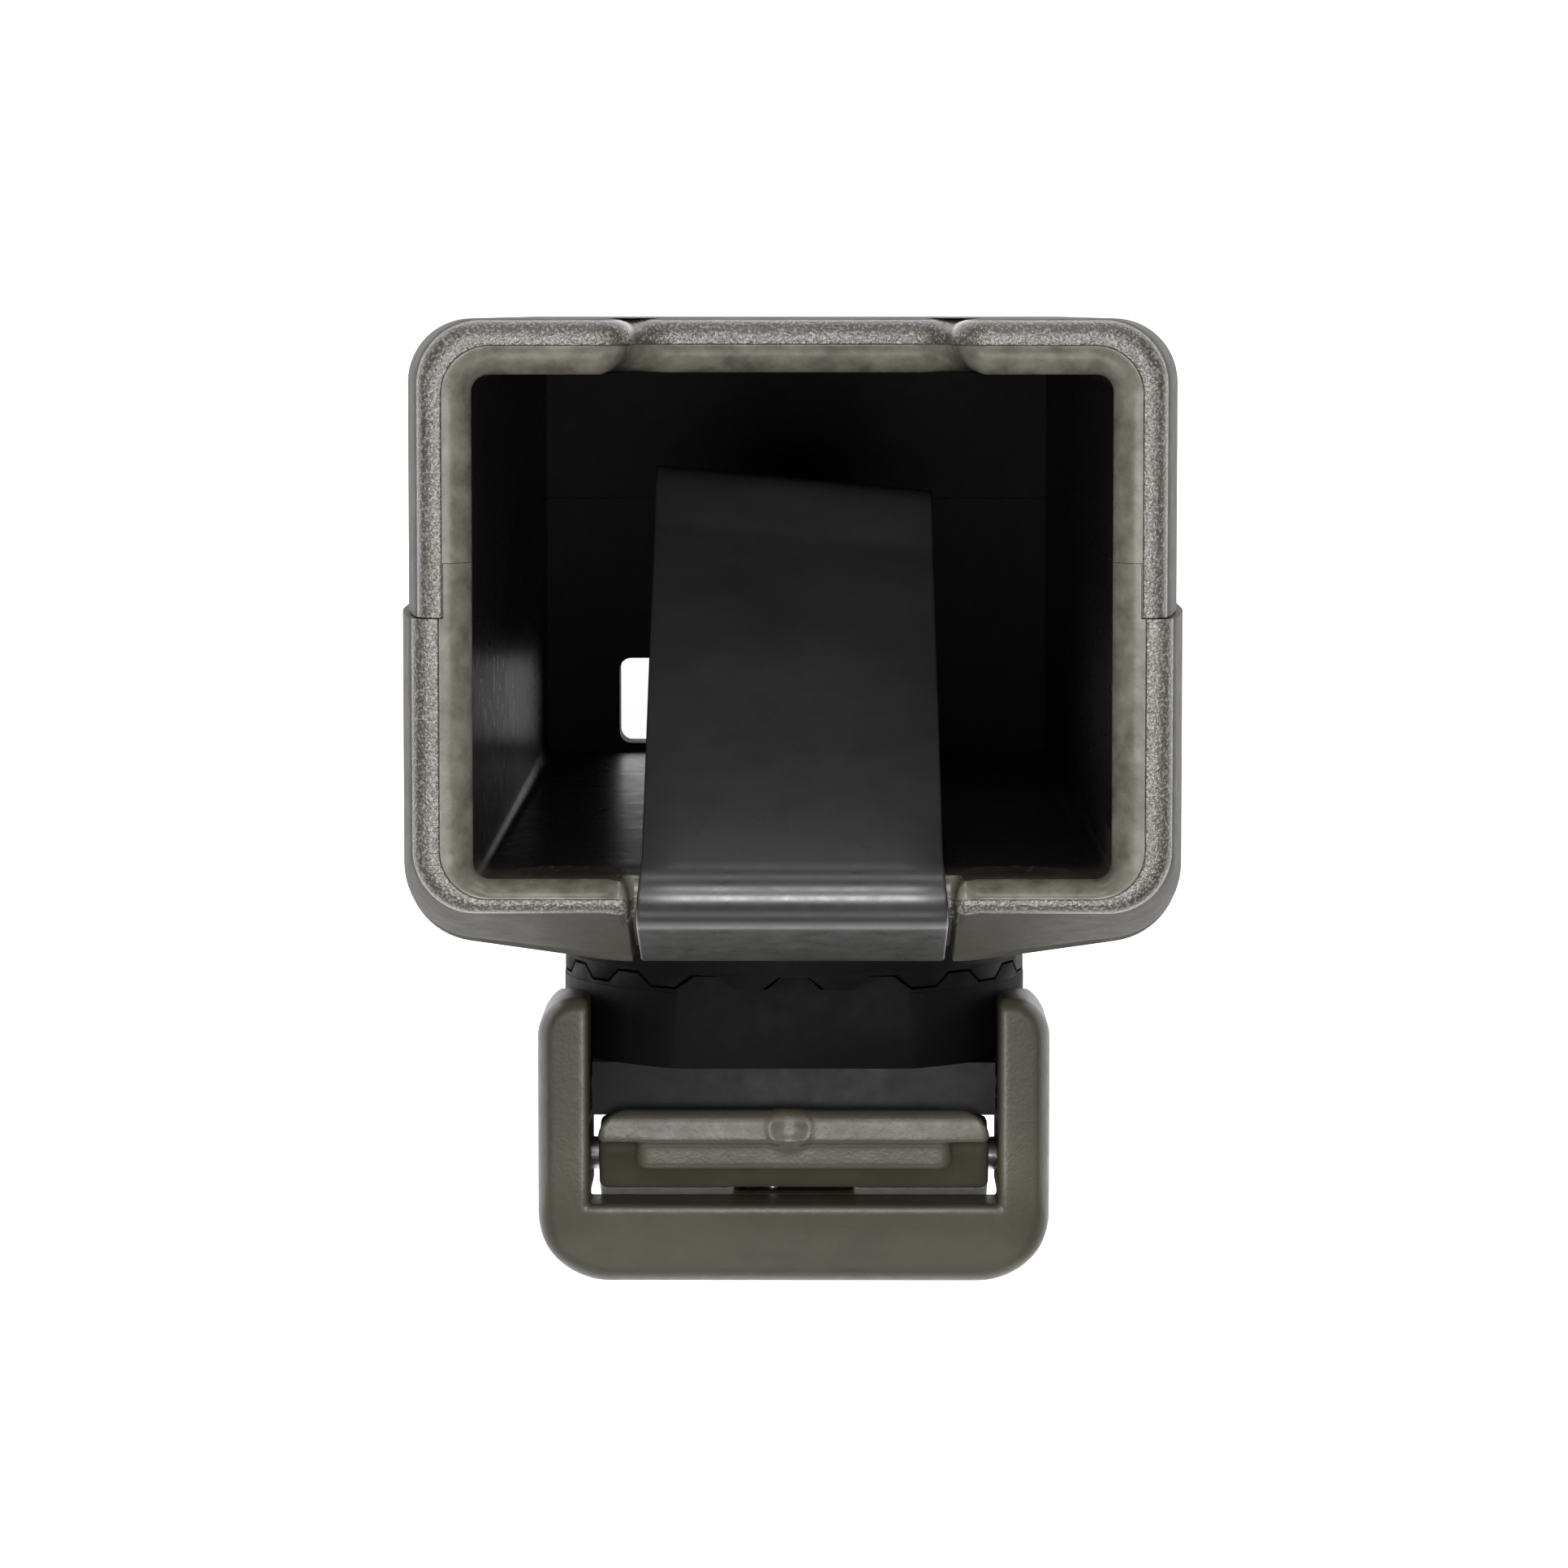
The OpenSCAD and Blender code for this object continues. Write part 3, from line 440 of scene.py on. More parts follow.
def rear_inner(col, z, x):
    half = X_ROOM - ROOM_DRAFT * (1 - z / Z_RIM)
    r = 0.9 + 0.8 * smoothstep(-2.2, 0, z - Z_RIM)
    back = Y_ROOM_BACK
    if col["mode"] == "side":
        return half, lerp(-TONGUE, back - r, col["a"])
    if col["mode"] == "corner":
        b = math.radians(90 * col["a"])
        return half - r + r * math.cos(b), back - r + r * math.sin(b)
    px = lerp(half - r, X_LINE, col["a"]) if col["mode"] == "fall" else x
    d = math.hypot(abs(px) - MARK[0], z - MARK[1])
    dish = 0.22 * (1 - smoothstep(MARK[2] - 0.25, MARK[2], d))
    lip = 0.07 * math.exp(-(((d - MARK[2] - 0.08) / 0.14) ** 2))
    return px, back + dish - lip


# the round marks on the rear wall: x, z and radius
MARK = (X_ROOM - 5.15, Z_RIM - 5.5, 3.0)


def rim_dip(x_edge, depth, r_top, r_low, start, step):
    """The rim's line from x = start to the middle over a dip, as (x, z) and its normal into the material."""
    pts = []
    x_top = x_edge + r_top
    n = max(int((start - x_top) / step), 1)
    pts += [(lerp(start, x_top, k / n), Z_RIM, 0, -1) for k in range(n)]
    n = 8
    for k in range(n):
        a = math.radians(90 + 90 * k / n)
        c = (x_top, Z_RIM - r_top)
        pts.append((c[0] + r_top * math.cos(a), c[1] + r_top * math.sin(a), -math.cos(a), -math.sin(a)))
    z_low = Z_RIM - depth + r_low
    n = max(int((Z_RIM - r_top - z_low) / step), 2)
    pts += [(x_edge, lerp(Z_RIM - r_top, z_low, k / n), 1, 0) for k in range(n)]
    n = 8
    for k in range(n):
        a = math.radians(-90 * k / n)
        c = (x_edge - r_low, z_low)
        pts.append((c[0] + r_low * math.cos(a), c[1] + r_low * math.sin(a), math.cos(a), math.sin(a)))
    n = max(int((x_edge - r_low) / step), 2)
    pts += [(lerp(x_edge - r_low, 0, k / n), Z_RIM - depth, 0, -1) for k in range(n + 1)]
    return pts


SIDE_COLUMNS, CORNER_COLUMNS, FALL_COLUMNS = 10, 14, 18


def columns(line, spread, scale):
    """The columns from the seam at +x to the seam at -x. line is the rim's line over the straight middle."""
    half = [dict(mode="side", a=k / SIDE_COLUMNS) for k in range(SIDE_COLUMNS)]
    half += [dict(mode="corner", a=k / CORNER_COLUMNS) for k in range(CORNER_COLUMNS)]
    half += [dict(mode="fall", a=k / FALL_COLUMNS) for k in range(FALL_COLUMNS)]
    for i, (x, z, nx, nz) in enumerate(line):
        half.append(dict(mode="flat", a=0, rim=(x, z, nx, nz), xb=spread(i, x), q=scale(x, z)))
    for c in half:
        c["s"] = 1
    other = [dict(c, s=-1) for c in half[:-1]]
    return half + other[::-1]


SHELL_FINISHES = [olive_side_painted_shade, olive_rim_painted_glints, olive_smooth_painted_sheen, room_painted_shade, room_floor_painted_shade, room_lip_painted_shade]
SIDE, GRAIN, SMOOTH, ROOM, ROOM_FLOOR, LIP = range(6)


def build_shell(name, cols, outer, inner, z_mid, upper_rows, low_out, low_in, lit_lip):
    """A shell's wall, from its outer and inner faces. lit_lip has the room's upper wall fade from olive to
    black, a painted shade.
    """

    def at(fn, col, z, x=None):
        px, py = fn(col, z, x)
        return np.array([px * col["s"], py, z])

    rings, kinds = [], []
    for col in cols:
        rim = col.get("rim")
        q = col.get("q", 1.0)

        def place(x_in, z_in, f, o=outer, i=inner, c=col):
            a, b = at(o, c, z_in, x_in), at(i, c, z_in, x_in)
            return lerp(a, b, f)

        xr, zr, nx, nz = rim if rim else (None, Z_RIM, 0, -1)
        top = []
        for inset, depth in RIM:
            d = depth * q
            top.append(place(None if rim is None else xr + nx * d, zr + nz * d, inset / RIM[-1][0]))
        d0, d1 = RIM[0][1] * q, RIM[-1][1] * q
        ring = []
        for z in low_out:
            ring.append(at(outer, col, z, col.get("xb")))
        for k in range(upper_rows):
            t = k / upper_rows
            x = None if rim is None else lerp(col["xb"], xr + nx * d0, t)
            ring.append(at(outer, col, lerp(z_mid, zr + nz * d0, t), x))
        ring += top
        for k in range(upper_rows - 1, -1, -1):
            t = k / upper_rows
            x = None if rim is None else lerp(col["xb"], xr + nx * d1, t)
            ring.append(at(inner, col, lerp(z_mid, zr + nz * d1, t), x))
        for z in low_in:
            ring.append(at(inner, col, z, col.get("xb")))
        rings.append(ring)
    rows = len(rings[0])
    n = len(rings)
    first_top = len(low_out) + upper_rows
    verts = [v for ring in rings for v in ring]
    faces = []
    for i in range(n - 1):
        for j in range(rows - 1):
            a = i * rows + j
            faces.append((a, a + rows, a + rows + 1, a + 1))
            at_rim = j - first_top
            if at_rim < RIM_GRAIN[0]:
                kinds.append(SIDE)
            elif at_rim < len(RIM) - 1:
                kinds.append(GRAIN if at_rim < RIM_GRAIN[1] else SMOOTH)
            else:
                lip = lit_lip and cols[i]["mode"] != "side" and at_rim < len(RIM) - 1 + upper_rows
                kinds.append(LIP if lip else ROOM)
    faces.append(tuple(i * rows for i in range(n)))
    faces.append(tuple(i * rows + rows - 1 for i in range(n - 1, -1, -1)))
    faces.append(tuple(range(rows)) + tuple((n - 1) * rows + j for j in range(rows - 1, -1, -1)))
    kinds += [SIDE, ROOM_FLOOR, SMOOTH]
    obj = make_object(name, verts, faces, SHELL_FINISHES)
    obj.data.polygons.foreach_set("material_index", kinds)
    tidy_normals(obj, 4)
    return obj


DIP_W = 17.7 / 2
DIP_DEPTH = 12
dip_line = rim_dip(DIP_W, DIP_DEPTH, 2.0, 2.0, X_LINE, 0.45)
n_dip = len(dip_line) - 1
front = build_shell(
    "pouch_front",
    columns(dip_line, lambda i, x: lerp(X_LINE, 0, i / n_dip), lambda x, z: 1.0),
    front_outer, front_inner, 76.0, 22,
    [0, 0.12, 0.45, 0.95, 1.55, FOOT, 6, 14, 24, 34, 44, 54, 64, 71],
    [71, 64, 54, 44, 34, 24, 14, 7, 4.4, 3.75, FLOOR],
    False,
)


def slot_spread(i, x):
    return slot_xb[i]


SLOT_DEPTH = Z_RIM - NOTCH_Z
slot_line = rim_dip(CHANNEL_W, SLOT_DEPTH, 0.6, 0.25, X_LINE, 0.3)
slot_xb = []
for x, z, nx, nz in slot_line:
    if nx == 0 and x > CHANNEL_W:
        slot_xb.append(x)
    elif z > NOTCH_Z + 1e-6 or nx:
        t = (Z_RIM - z) / SLOT_DEPTH
        slot_xb.append(lerp(CHANNEL_W + 0.55, CHANNEL_W - 0.22, t))
    else:
        slot_xb.append(x)


def slot_scale(x, z):
    if z < Z_RIM - 0.01:
        return 0.3
    return lerp(0.3, 1.0, smoothstep(CHANNEL_W + 0.6, CHANNEL_W + 1.3, x))


rear = build_shell(
    "pouch_rear",
    columns(slot_line, slot_spread, slot_scale),
    rear_outer, rear_inner, 82.0, 30,
    [
        0, 0.12, 0.45, 0.95, 1.55, FOOT, 6, 11, 16, 21, 26, 31, 34, 37, 40, 43, 48, 54,
        56.9, 56.98, 57.06, 57.14, 57.2, 57.8, 62, 70, 76, 78, 79, 79.6, 80, 80.4, 81,
    ],
    [81, 76, 68, 60, 52, 44, 36, 28, 20, 12, 7, 4.4, 3.75, FLOOR],
    True,
)
cut(front, prism("lap_room", box_outline(-LAP_X - 0.03, LAP_X + 0.03, 1.72, 120), -TONGUE - 0.03, 5, 1))
WIDE, TALL, LAP_FLOOR = 40, 120, 1.75
lap = [(-WIDE, -10), (WIDE, -10), (WIDE, TALL), (LAP_X, TALL)]
lap += [(LAP_X, LAP_FLOOR), (-LAP_X, LAP_FLOOR), (-LAP_X, TALL), (-WIDE, TALL)]
cut(rear, prism("lap_outer", lap, -20, SEAM_GAP, 1))
cut(rear, prism("drain", box_outline(8.9, 12.25, 8.1, 14.0, 0.8), -5, 8, 2))
bores = [(0, AXIS_Z, 4.62, 15.6)]
bores += [(sx * 5, AXIS_Z + sz * 7.8, 1.02, 16.0) for sx in (-1, 1) for sz in (-1, 1)]
for k, (bx, bz, br, by) in enumerate(bores):
    cut(rear, prism(f"bore{k}", circle(bx, bz, br), by, 30, 1))
for obj, node in ((front, "front_shell"), (rear, "rear_shell")):
    smooth(obj, 32)
    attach(obj, "pouch")
    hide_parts(node)


# ---- the leaf spring: one strip, turned along its length, with rounded edges
LEG_L, SLOPE_L = 22.865, 10.47
Y_LEG = Y_HUMP - LEAF_T / 2


def leaf_path(step=0.2):
    """Points and directions along the strip's middle line in (y, z), from the leg's foot to the curl."""
    stretches = [
        (LEG_L, 90, 90), (SLOPE_L, 106.4, 106.4), (3.38, 106.4, 240), (17.5, 240, 240), (17.1, 241.5, 241.5),
        (4.0, 231.3, 231.3), (4.57, 231.3, 303), (1.4, 303, 303),
    ]
    total = sum(s[0] for s in stretches)
    n = int(total / step)
    s_all = np.linspace(0, total, n + 1)
    turn = np.zeros(n + 1)
    start = 0.0
    for length, a0, a1 in stretches:
        inside = (s_all >= start) & (s_all <= start + length + 1e-6)
        turn[inside] = a0 + (a1 - a0) * (s_all[inside] - start) / length
        start += length
    kernel = np.exp(-0.5 * (np.arange(-6, 7) * step / 0.35) ** 2)
    kernel /= kernel.sum()
    padded = np.pad(turn, 6, mode="edge")
    turn = np.convolve(padded, kernel, mode="valid")
    a = np.radians(turn)
    y = Y_LEG + np.concatenate([[0], np.cumsum(np.cos((a[1:] + a[:-1]) / 2) * np.diff(s_all))])
    z = leg_low[2] + np.concatenate([[0], np.cumsum(np.sin((a[1:] + a[:-1]) / 2) * np.diff(s_all))])
    return s_all, y, z, a


def edge_point(degrees, half_t, edge):
    """A point on the strip's rounded long edge, around the corner's middle."""
    b = math.radians(degrees)
    flat = (half_t - edge) * np.sign(math.sin(b)) * min(1, abs(math.sin(b)) * 2)
    return edge * math.cos(b), flat + edge * math.sin(b)


def build_leaf():
    s_all, ys, zs, turns = leaf_path()
    half_t, edge = LEAF_T / 2, 0.2
    s_bend = LEG_L + SLOPE_L
    rings = []
    for s, y, z, a in zip(s_all, ys, zs, turns):
        w = lerp(leg_high[0], bow_high[0], smoothstep(s_bend, s_bend + 5, s))
        end = min(s, s_all[-1] - s)
        w -= 0.8 - math.sqrt(max(0.64 - (0.8 - min(end, 0.8)) ** 2, 0)) if end < 0.8 else 0
        section = []
        for k in range(9):
            section.append((lerp(-w + edge, w - edge, k / 8), -half_t))
        for k in range(1, 6):
            u, v = edge_point(-90 + 180 * k / 6, half_t, edge)
            section.append((w - edge + u, v))
        for k in range(9):
            section.append((lerp(w - edge, -w + edge, k / 8), half_t))
        for k in range(1, 6):
            u, v = edge_point(90 + 180 * k / 6, half_t, edge)
            section.append((-w + edge + u, v))
        lean = 0.092 * smoothstep(s_bend + 2, s_bend + 40, s)
        ny, nz = -math.sin(a), math.cos(a)
        rings.append([(x, y + u * ny - lean * x, z + u * nz) for x, u in section])
    m = len(rings[0])
    verts = [v for r in rings for v in r]
    faces = [
        (i * m + j, i * m + (j + 1) % m, (i + 1) * m + (j + 1) % m, (i + 1) * m + j)
        for i in range(len(rings) - 1) for j in range(m)
    ]
    faces.append(tuple(range(m)))
    faces.append(tuple((len(rings) - 1) * m + j for j in range(m - 1, -1, -1)))
    obj = make_object("leaf_strip", verts, faces, [steel_black])
    tidy_normals(obj)
    return obj


leaf = build_leaf()
smooth(leaf, 50)
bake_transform(leaf)
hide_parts("leaf_leg", "leaf_bow")


def softened(node, name, body, material, width, angle=35):
    """A copy of a node with bevelled edges. With a pair of bodies it is left in place, attached to neither.
    """
    obj = bpy.data.objects.new(name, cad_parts[node].data.copy())
    bpy.context.scene.collection.objects.link(obj)
    obj.data.materials.clear()
    obj.data.materials.append(material)
    bm = bmesh.new()
    bm.from_mesh(obj.data)
    bmesh.ops.remove_doubles(bm, verts=bm.verts, dist=1e-6)
    bmesh.ops.dissolve_limit(bm, angle_limit=math.radians(0.5), verts=bm.verts, edges=bm.edges)
    bmesh.ops.recalc_face_normals(bm, faces=bm.faces)
    for f in bm.faces:
        f.material_index = 0
    bm.to_mesh(obj.data)
    bm.free()
    if width:
        m = obj.modifiers.new("soft", "BEVEL")
        m.width = width * MM
        m.segments = 2
        m.limit_method = "ANGLE"
        m.angle_limit = math.radians(angle)
        m.use_clamp_overlap = True
        m.harden_normals = True
        obj.data.shade_smooth()
        bpy.context.view_layer.update()
        bake_modifiers(obj)
    else:
        smooth(obj, angle)
    if isinstance(body, tuple):
        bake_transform(obj)
    else:
        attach(obj, body)
    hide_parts(node)
    return obj


softened("pouch_ring", "ring_on_pouch", "pouch", black_ring, 0.14)
softened("clip_ring", "ring_on_clip", "belt_clip", black_ring, 0.14)
softened("base_plate", "clip_plate", "belt_clip", black_polymer, 0.3)
softened("ring_screws", "screws_ring", "pouch", zinc, 0.08)
softened("plate_screws", "screws_plate", "belt_clip", zinc, 0.08)
softened("frame_screws", "screws_frame", "belt_clip", zinc, 0.08)
softened("threaded_insert", "insert", "pouch", brass, 0.12)
softened("swivel_bolt", "bolt", "pouch", zinc, 0.15)
softened("keyed_washer", "washer", "swivel_carriage", zinc, 0.1)
softened("bearing_sleeve", "sleeve", "belt_clip", brass, 0.1)
softened("lever_pin", "pin", "belt_clip", zinc, 0.15)
swivel_ends = ("belt_clip", "swivel_carriage")
softened("swivel_spring", "coil_swivel", swivel_ends, wire_steel, 0, 80)
softened("lever_spring", "coil_lever", "belt_clip", wire_steel, 0, 80)


# ---- the clip's frame and lever, from distance fields with blended edges
def smax(a, b, k):
    h = np.clip(0.5 + 0.5 * (a - b) / k, 0, 1)
    return b + (a - b) * h + k * h * (1 - h)


def smin(a, b, k):
    return -smax(-a, -b, k)


def span(v, lo, hi):
    return np.abs(v - (lo + hi) / 2) - (hi - lo) / 2


def extrude(a, b, r):
    """Two distances across each other, with their shared edge rounded by r."""
    a, b = a + r, b + r
    return np.minimum(np.maximum(a, b), 0) + np.hypot(np.maximum(a, 0), np.maximum(b, 0)) - r


def polygon_distance(points, u, v):
    """Signed distance to a closed outline on broadcast grids u and v: negative inside."""
    pts = np.array(points, float)
    u, v = np.broadcast_arrays(u, v)
    best = np.full(u.shape, 1e9)
    inside = np.zeros(u.shape, bool)
    for (x0, y0), (x1, y1) in zip(pts, np.roll(pts, -1, axis=0)):
        ex, ey = x1 - x0, y1 - y0
        wx, wy = u - x0, v - y0
        t = np.clip((wx * ex + wy * ey) / (ex * ex + ey * ey), 0, 1)
        best = np.minimum(best, (wx - t * ex) ** 2 + (wy - t * ey) ** 2)
        crosses = ((y0 > v) != (y1 > v)) & (u < (x1 - x0) * (v - y0) / ((y1 - y0) or 1e-12) + x0)
        inside ^= crosses
    return np.where(inside, -1, 1) * np.sqrt(best)


def rounded(points):
    """An outline of (y, z, radius) corners, as points."""
    out = []
    n = len(points)
    for i, (x, y, r) in enumerate(points):
        p, a, b = np.array([x, y]), np.array(points[i - 1][:2]), np.array(points[(i + 1) % n][:2])
        if r <= 0:
            out.append(p)
            continue
        u, w = (a - p) / np.linalg.norm(a - p), (b - p) / np.linalg.norm(b - p)
        half = math.acos(np.clip(u @ w, -1, 1)) / 2
        back = r / math.tan(half)
        c = p + (u + w) / np.linalg.norm(u + w) * r / math.sin(half)
        s, e = p + u * back - c, p + w * back - c
        a0 = math.atan2(s[1], s[0])
        d = (math.atan2(e[1], e[0]) - a0 + math.pi) % (2 * math.pi) - math.pi
        out += [c + r * np.array([math.cos(a0 + d * k / 8), math.sin(a0 + d * k / 8)]) for k in range(9)]
    return out


def field_object(name, low, high, h, field, material, keep):
    """A mesh of the surface where field(x, y, z) is 0, thinned to a share, with the field's own normals."""
    low, high = np.array(low) - 3 * h, np.array(high) + 3 * h
    counts = np.ceil((high - low) / h).astype(int) + 1
    x, y, z = (low[i] + h * np.arange(counts[i]) for i in range(3))
    d = np.asarray(field(x[:, None, None], y[None, :, None], z[None, None, :]), np.float32)
    d = np.ascontiguousarray(np.broadcast_to(d, counts))
    band = 3 * h
    grid = openvdb.FloatGrid(band)
    grid.copyFromArray(np.clip(d, -band, band), tolerance=0.0)
    points, _, quads = grid.convertToPolygons(isovalue=0.0, adaptivity=0.0)
    obj = make_object(name, low + points * h, [tuple(int(i) for i in q) for q in quads[:, ::-1]], [material])
    m = obj.modifiers.new("thin", "DECIMATE")
    m.ratio = keep
    bpy.context.view_layer.update()
    bake_modifiers(obj)
    tidy_normals(obj)
    obj.data.shade_smooth()
    co = np.zeros(len(obj.data.vertices) * 3)
    obj.data.vertices.foreach_get("co", co)
    at = (co.reshape(-1, 3) / MM - low) / h
    cell = np.clip(np.floor(at).astype(int), 1, counts - 3)
    f = at - cell
    normals = np.zeros_like(at)
    for dx in (0, 1):
        for dy in (0, 1):
            for dz in (0, 1):
                i, j, k = cell[:, 0] + dx, cell[:, 1] + dy, cell[:, 2] + dz
                w = np.prod(np.where((dx, dy, dz), f, 1 - f), axis=1)
                gx = d[i + 1, j, k] - d[i - 1, j, k]
                gy = d[i, j + 1, k] - d[i, j - 1, k]
                gz = d[i, j, k + 1] - d[i, j, k - 1]
                normals += w[:, None] * np.stack([gx, gy, gz], 1)
    normals /= np.maximum(np.linalg.norm(normals, axis=1, keepdims=True), 1e-9)
    obj.data.normals_split_custom_set_from_vertices([Vector(v) for v in normals])
    return obj


# the clip: its opening, the bar behind it, the room for its ring, its pin and its screws, as (y, z)
X_IN = 12.3
X_OUT = clip_high[0]
Y_CLIP_FRONT, Y_CLIP_BACK = clip_low[1], clip_high[1]
Y_BAR = 37.0
Z_TOP = clip_high[2]
BAR_H = 5
RING_R = 14.15
Y_RING_BACK = 28.8
PIN = (34.8, Z_TOP - 7)
SCREW = (30.3, 58.0)


def slope_distance(across, along, rise, run):
    """Distance to a plane that falls by rise over run."""
    return (along * rise + across * run) / math.hypot(rise, run)


def frame_field(x, y, z):
    ax = np.abs(x)
    front_r, back_r = 2.6, 4.4
    mid = (Y_CLIP_FRONT + Y_CLIP_BACK) / 2
    half_y = (Y_CLIP_BACK - Y_CLIP_FRONT) / 2
    r = np.where(y < mid, front_r, back_r)
    qx, qy = ax - X_OUT + r, np.abs(y - mid) - half_y + r
    plan = np.minimum(np.maximum(qx, qy), 0) + np.hypot(np.maximum(qx, 0), np.maximum(qy, 0)) - r
    d = extrude(plan, span(z, clip_low[2], Z_TOP), 1.0)
    d = smax(d, slope_distance(y - Y_BAR - 0.6, z - Z_TOP, 4.0, 2.0), 1.2)
    dome = (z - Z_TOP) * 0.93 + (ax - X_OUT + 1.9) * 0.5
    d = smax(d, dome + 0 * y, 1.6)
    room = np.maximum(ax - X_IN, y - Y_BAR)
    d = smax(d, -room + 0 * z, 0.55)
    under = np.maximum(Y_BAR - y, z - (Z_TOP - BAR_H))
    d = smax(d, -(under + 0 * x), 0.4)
    ring = np.maximum(np.hypot(x, z - AXIS_Z) - RING_R - 0.2, y - Y_RING_BACK)
    d = smax(d, -ring, 0.5)
    pin = np.hypot(y - PIN[0], z - PIN[1]) - 1.02
    d = np.maximum(d, -(pin + 0 * x))
    screw = np.hypot(y - SCREW[0], z - SCREW[1])
    head = np.maximum(screw - 1.9, X_OUT - 1.3 - ax)
    return np.maximum(d, -np.minimum(screw - 1.1 + 0 * x, head))


clip = field_object("clip_head", clip_low, clip_high, 0.14, frame_field, olive_satin, 0.3)
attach(clip, "belt_clip")
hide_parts("clip_frame")

Y_ARM, Y_ARM_BACK = 36.5, lever_high[1]
Z_CLIP = lever_low[2]
X_LEVER = lever_high[0]
Z_FRAME = clip_low[2]
Y_RIDGE, Y_RIDGE_BACK = 31.3, 33.2
RIDGE_CORNER_R = 1.9
PAD_HALF_W = 9.57
GATE = (0.25, 32.35)
LEVER = rounded([
    (Y_RIDGE, 63.2, 0.3), (Y_RIDGE, 64.1, 0.75), (Y_RIDGE_BACK, 64.1, 0.12),
    (33.5, 62.0, 0.8), (36.6, 60.3, 0.6), (36.6, 59.3, 1.0),
    (Y_ARM_BACK, Z_FRAME + 0.6, 2.5), (Y_ARM_BACK, Z_CLIP, 1.2), (32.15, Z_CLIP, 1.2), (32.15, 5.3, 0.35),
    (Y_ARM, 5.3, 0.8), (Y_ARM, Z_FRAME, 1.5),
    (34.8, 54.9, 0.8), (33.1, 55.6, 0.6), (32.4, 57.3, 0.6), (33.1, 59.0, 0.6),
    (33.3, 62.2, 0.5), (31.9, 62.8, 0.4),
])
PAD = rounded([(33.5, 62.9, 0), (33.0, 63.9, 0), (34.95, 63.75, 0.45), (35.1, 61.6, 0.5), (34.3, 61.2, 0)])


def lever_field(x, y, z):
    outline = polygon_distance(LEVER, y[0], z[0])[None]
    d = extrude(outline, np.abs(x) - X_LEVER, 0.45)
    # the ridge's rounded front corners
    ridge = np.maximum(y - Y_RIDGE_BACK, 61.5 - z)
    plan = extrude(np.abs(x) - X_LEVER, Y_RIDGE - y, RIDGE_CORNER_R)
    d = np.maximum(d, np.where(ridge < 0, plan, -9))
    pad = extrude(polygon_distance(PAD, y[0], z[0])[None], np.abs(x) - PAD_HALF_W, 0.8)
    d = smin(d, pad, 0.35)
    # the mark of the moulding gate: a dish with a low lip
    gate = np.hypot(x - GATE[0], y - GATE[1])
    dish = 0.12 * (1 - np.clip((gate - 0.4) / 0.5, 0, 1))
    lip = 0.08 * np.exp(-(((gate - 1.2) / 0.2) ** 2))
    d = d + np.where(z > 62.5, dish - lip, 0)
    pin = np.hypot(y - PIN[0], z - PIN[1]) - 1.05
    d = np.maximum(d, -(pin + 0 * x))
    coil = np.maximum(np.abs(x) - 3.6, np.maximum(np.abs(z - PIN[1]) - 2.8, y - 37.0))
    return smax(d, -coil, 0.3)


lever = field_object("lever_body", lever_low, lever_high, 0.16, lever_field, olive_satin, 0.25)
# the arm and hook, below the bar, have the matt finish of the pouch's sides, with its darker base colour, a
# painted shade
Z_MATT = Z_TOP - 4.5
lever.data.materials.append(olive_side_painted_shade)
for face in lever.data.polygons:
    face.material_index = int(face.center.z < Z_MATT * MM)
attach(lever, "lock_lever")
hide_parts("lock_lever")

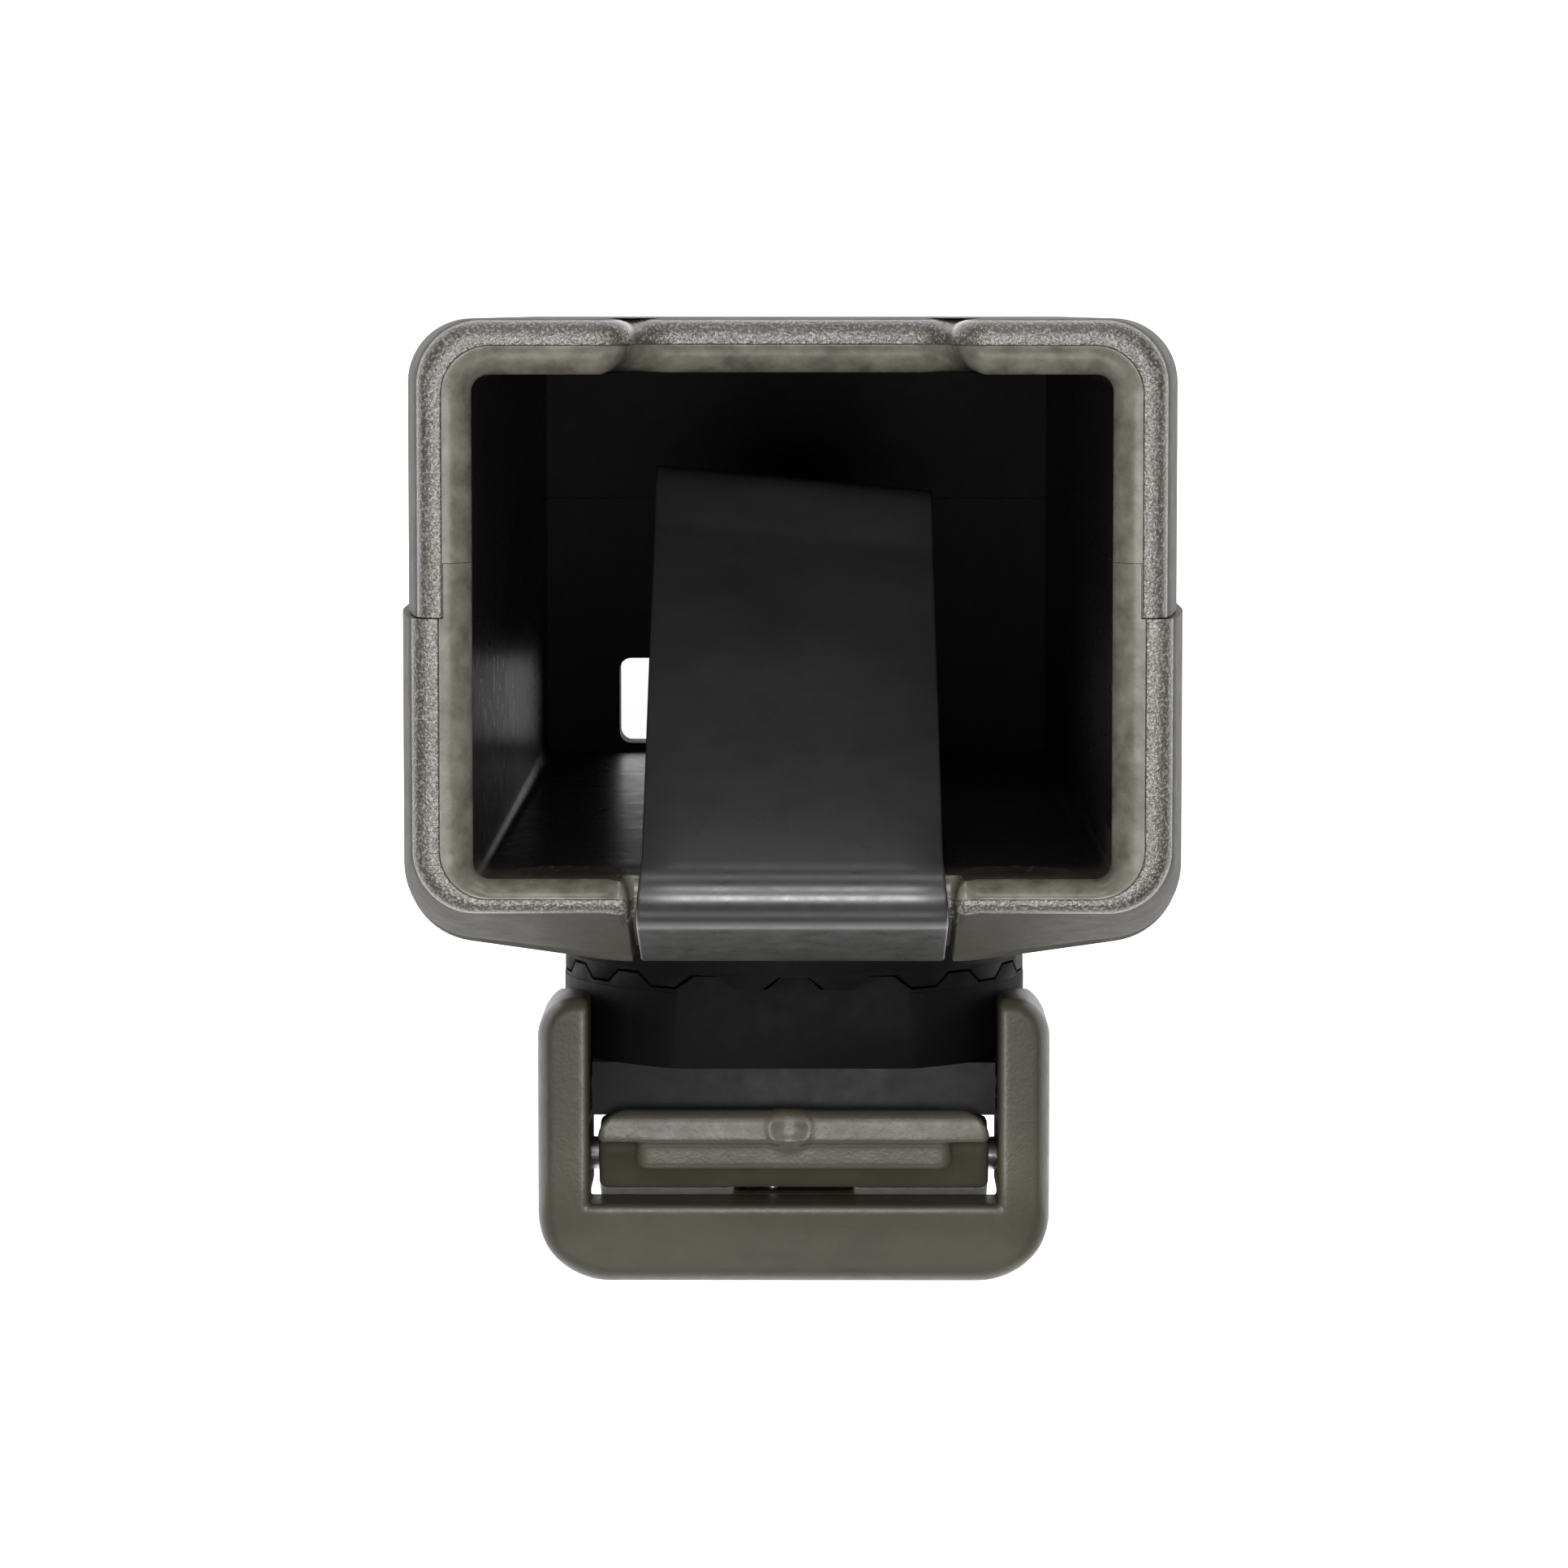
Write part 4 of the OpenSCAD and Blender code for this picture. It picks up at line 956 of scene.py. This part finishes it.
# ---- floor, lights and camera
Z_FLOOR, FLOOR_REACH = -0.6, 900
corners = [(x, y, Z_FLOOR) for x, y in box_outline(-FLOOR_REACH, FLOOR_REACH, -FLOOR_REACH, FLOOR_REACH)]
floor = make_object("floor", corners, [(0, 1, 2, 3)])
floor_mat, _, floor_shader = new_material("pale_floor")
floor_shader.inputs["Base Color"].default_value = (0.8, 0.8, 0.8, 1)
floor_shader.inputs["Roughness"].default_value = 0.9
floor_shader.inputs["Emission Color"].default_value = (1, 1, 1, 1)
floor_shader.inputs["Emission Strength"].default_value = 0.9
floor.data.materials.append(floor_mat)

world = bpy.data.worlds.new("studio")
bpy.context.scene.world = world
world.use_nodes = True
world.node_tree.nodes["Background"].inputs["Color"].default_value = (0.9, 0.95, 1.0, 1)
world.node_tree.nodes["Background"].inputs["Strength"].default_value = 0.08


def area(name, at, to, size, watts, colour=(1, 1, 1)):
    light = bpy.data.lights.new(name, "AREA")
    light.shape = "RECTANGLE"
    light.size, light.size_y = size[0] * MM, size[1] * MM
    light.energy = watts
    light.color = colour
    obj = bpy.data.objects.new(name, light)
    obj.location = Vector(at) * MM
    obj.rotation_euler = (Vector(to) - Vector(at)).to_track_quat("-Z", "Y").to_euler()
    bpy.context.scene.collection.objects.link(obj)
    return obj


area("key_back", (60, 420, 300), (0, 10, 60), (420, 160), 0.5)
area("left", (270, -10, 460), (0, 0, 80), (120, 300), 0.6)
area("right", (-270, -10, 460), (0, 0, 80), (120, 300), 0.6)
area("front_top", (0, -250, 620), (0, 0, 70), (150, 150), 1.1)
area("front", (0, -420, 260), (0, 0, 60), (420, 140), 0.5)
area("top", (0, 60, 700), (0, 0, 60), (150, 150), 2.6)

camera_data = bpy.data.cameras.new("camera")
camera_data.lens = 142.7
camera_data.sensor_width = 36
camera_data.clip_start = 0.01
camera = bpy.data.objects.new("camera", camera_data)
eye, aim = Vector((-1.08, -20.7, 434)), Vector((0.45, 9.15, 92))
forward = (aim - eye).normalized()
right = forward.cross(Vector((0, -1, 0))).normalized()
up = right.cross(forward)
camera.matrix_world = Matrix((right, up, -forward)).transposed().to_4x4()
camera.location = eye * MM
bpy.context.scene.collection.objects.link(camera)
bpy.context.scene.camera = camera
bpy.context.scene.view_settings.view_transform = "Standard"
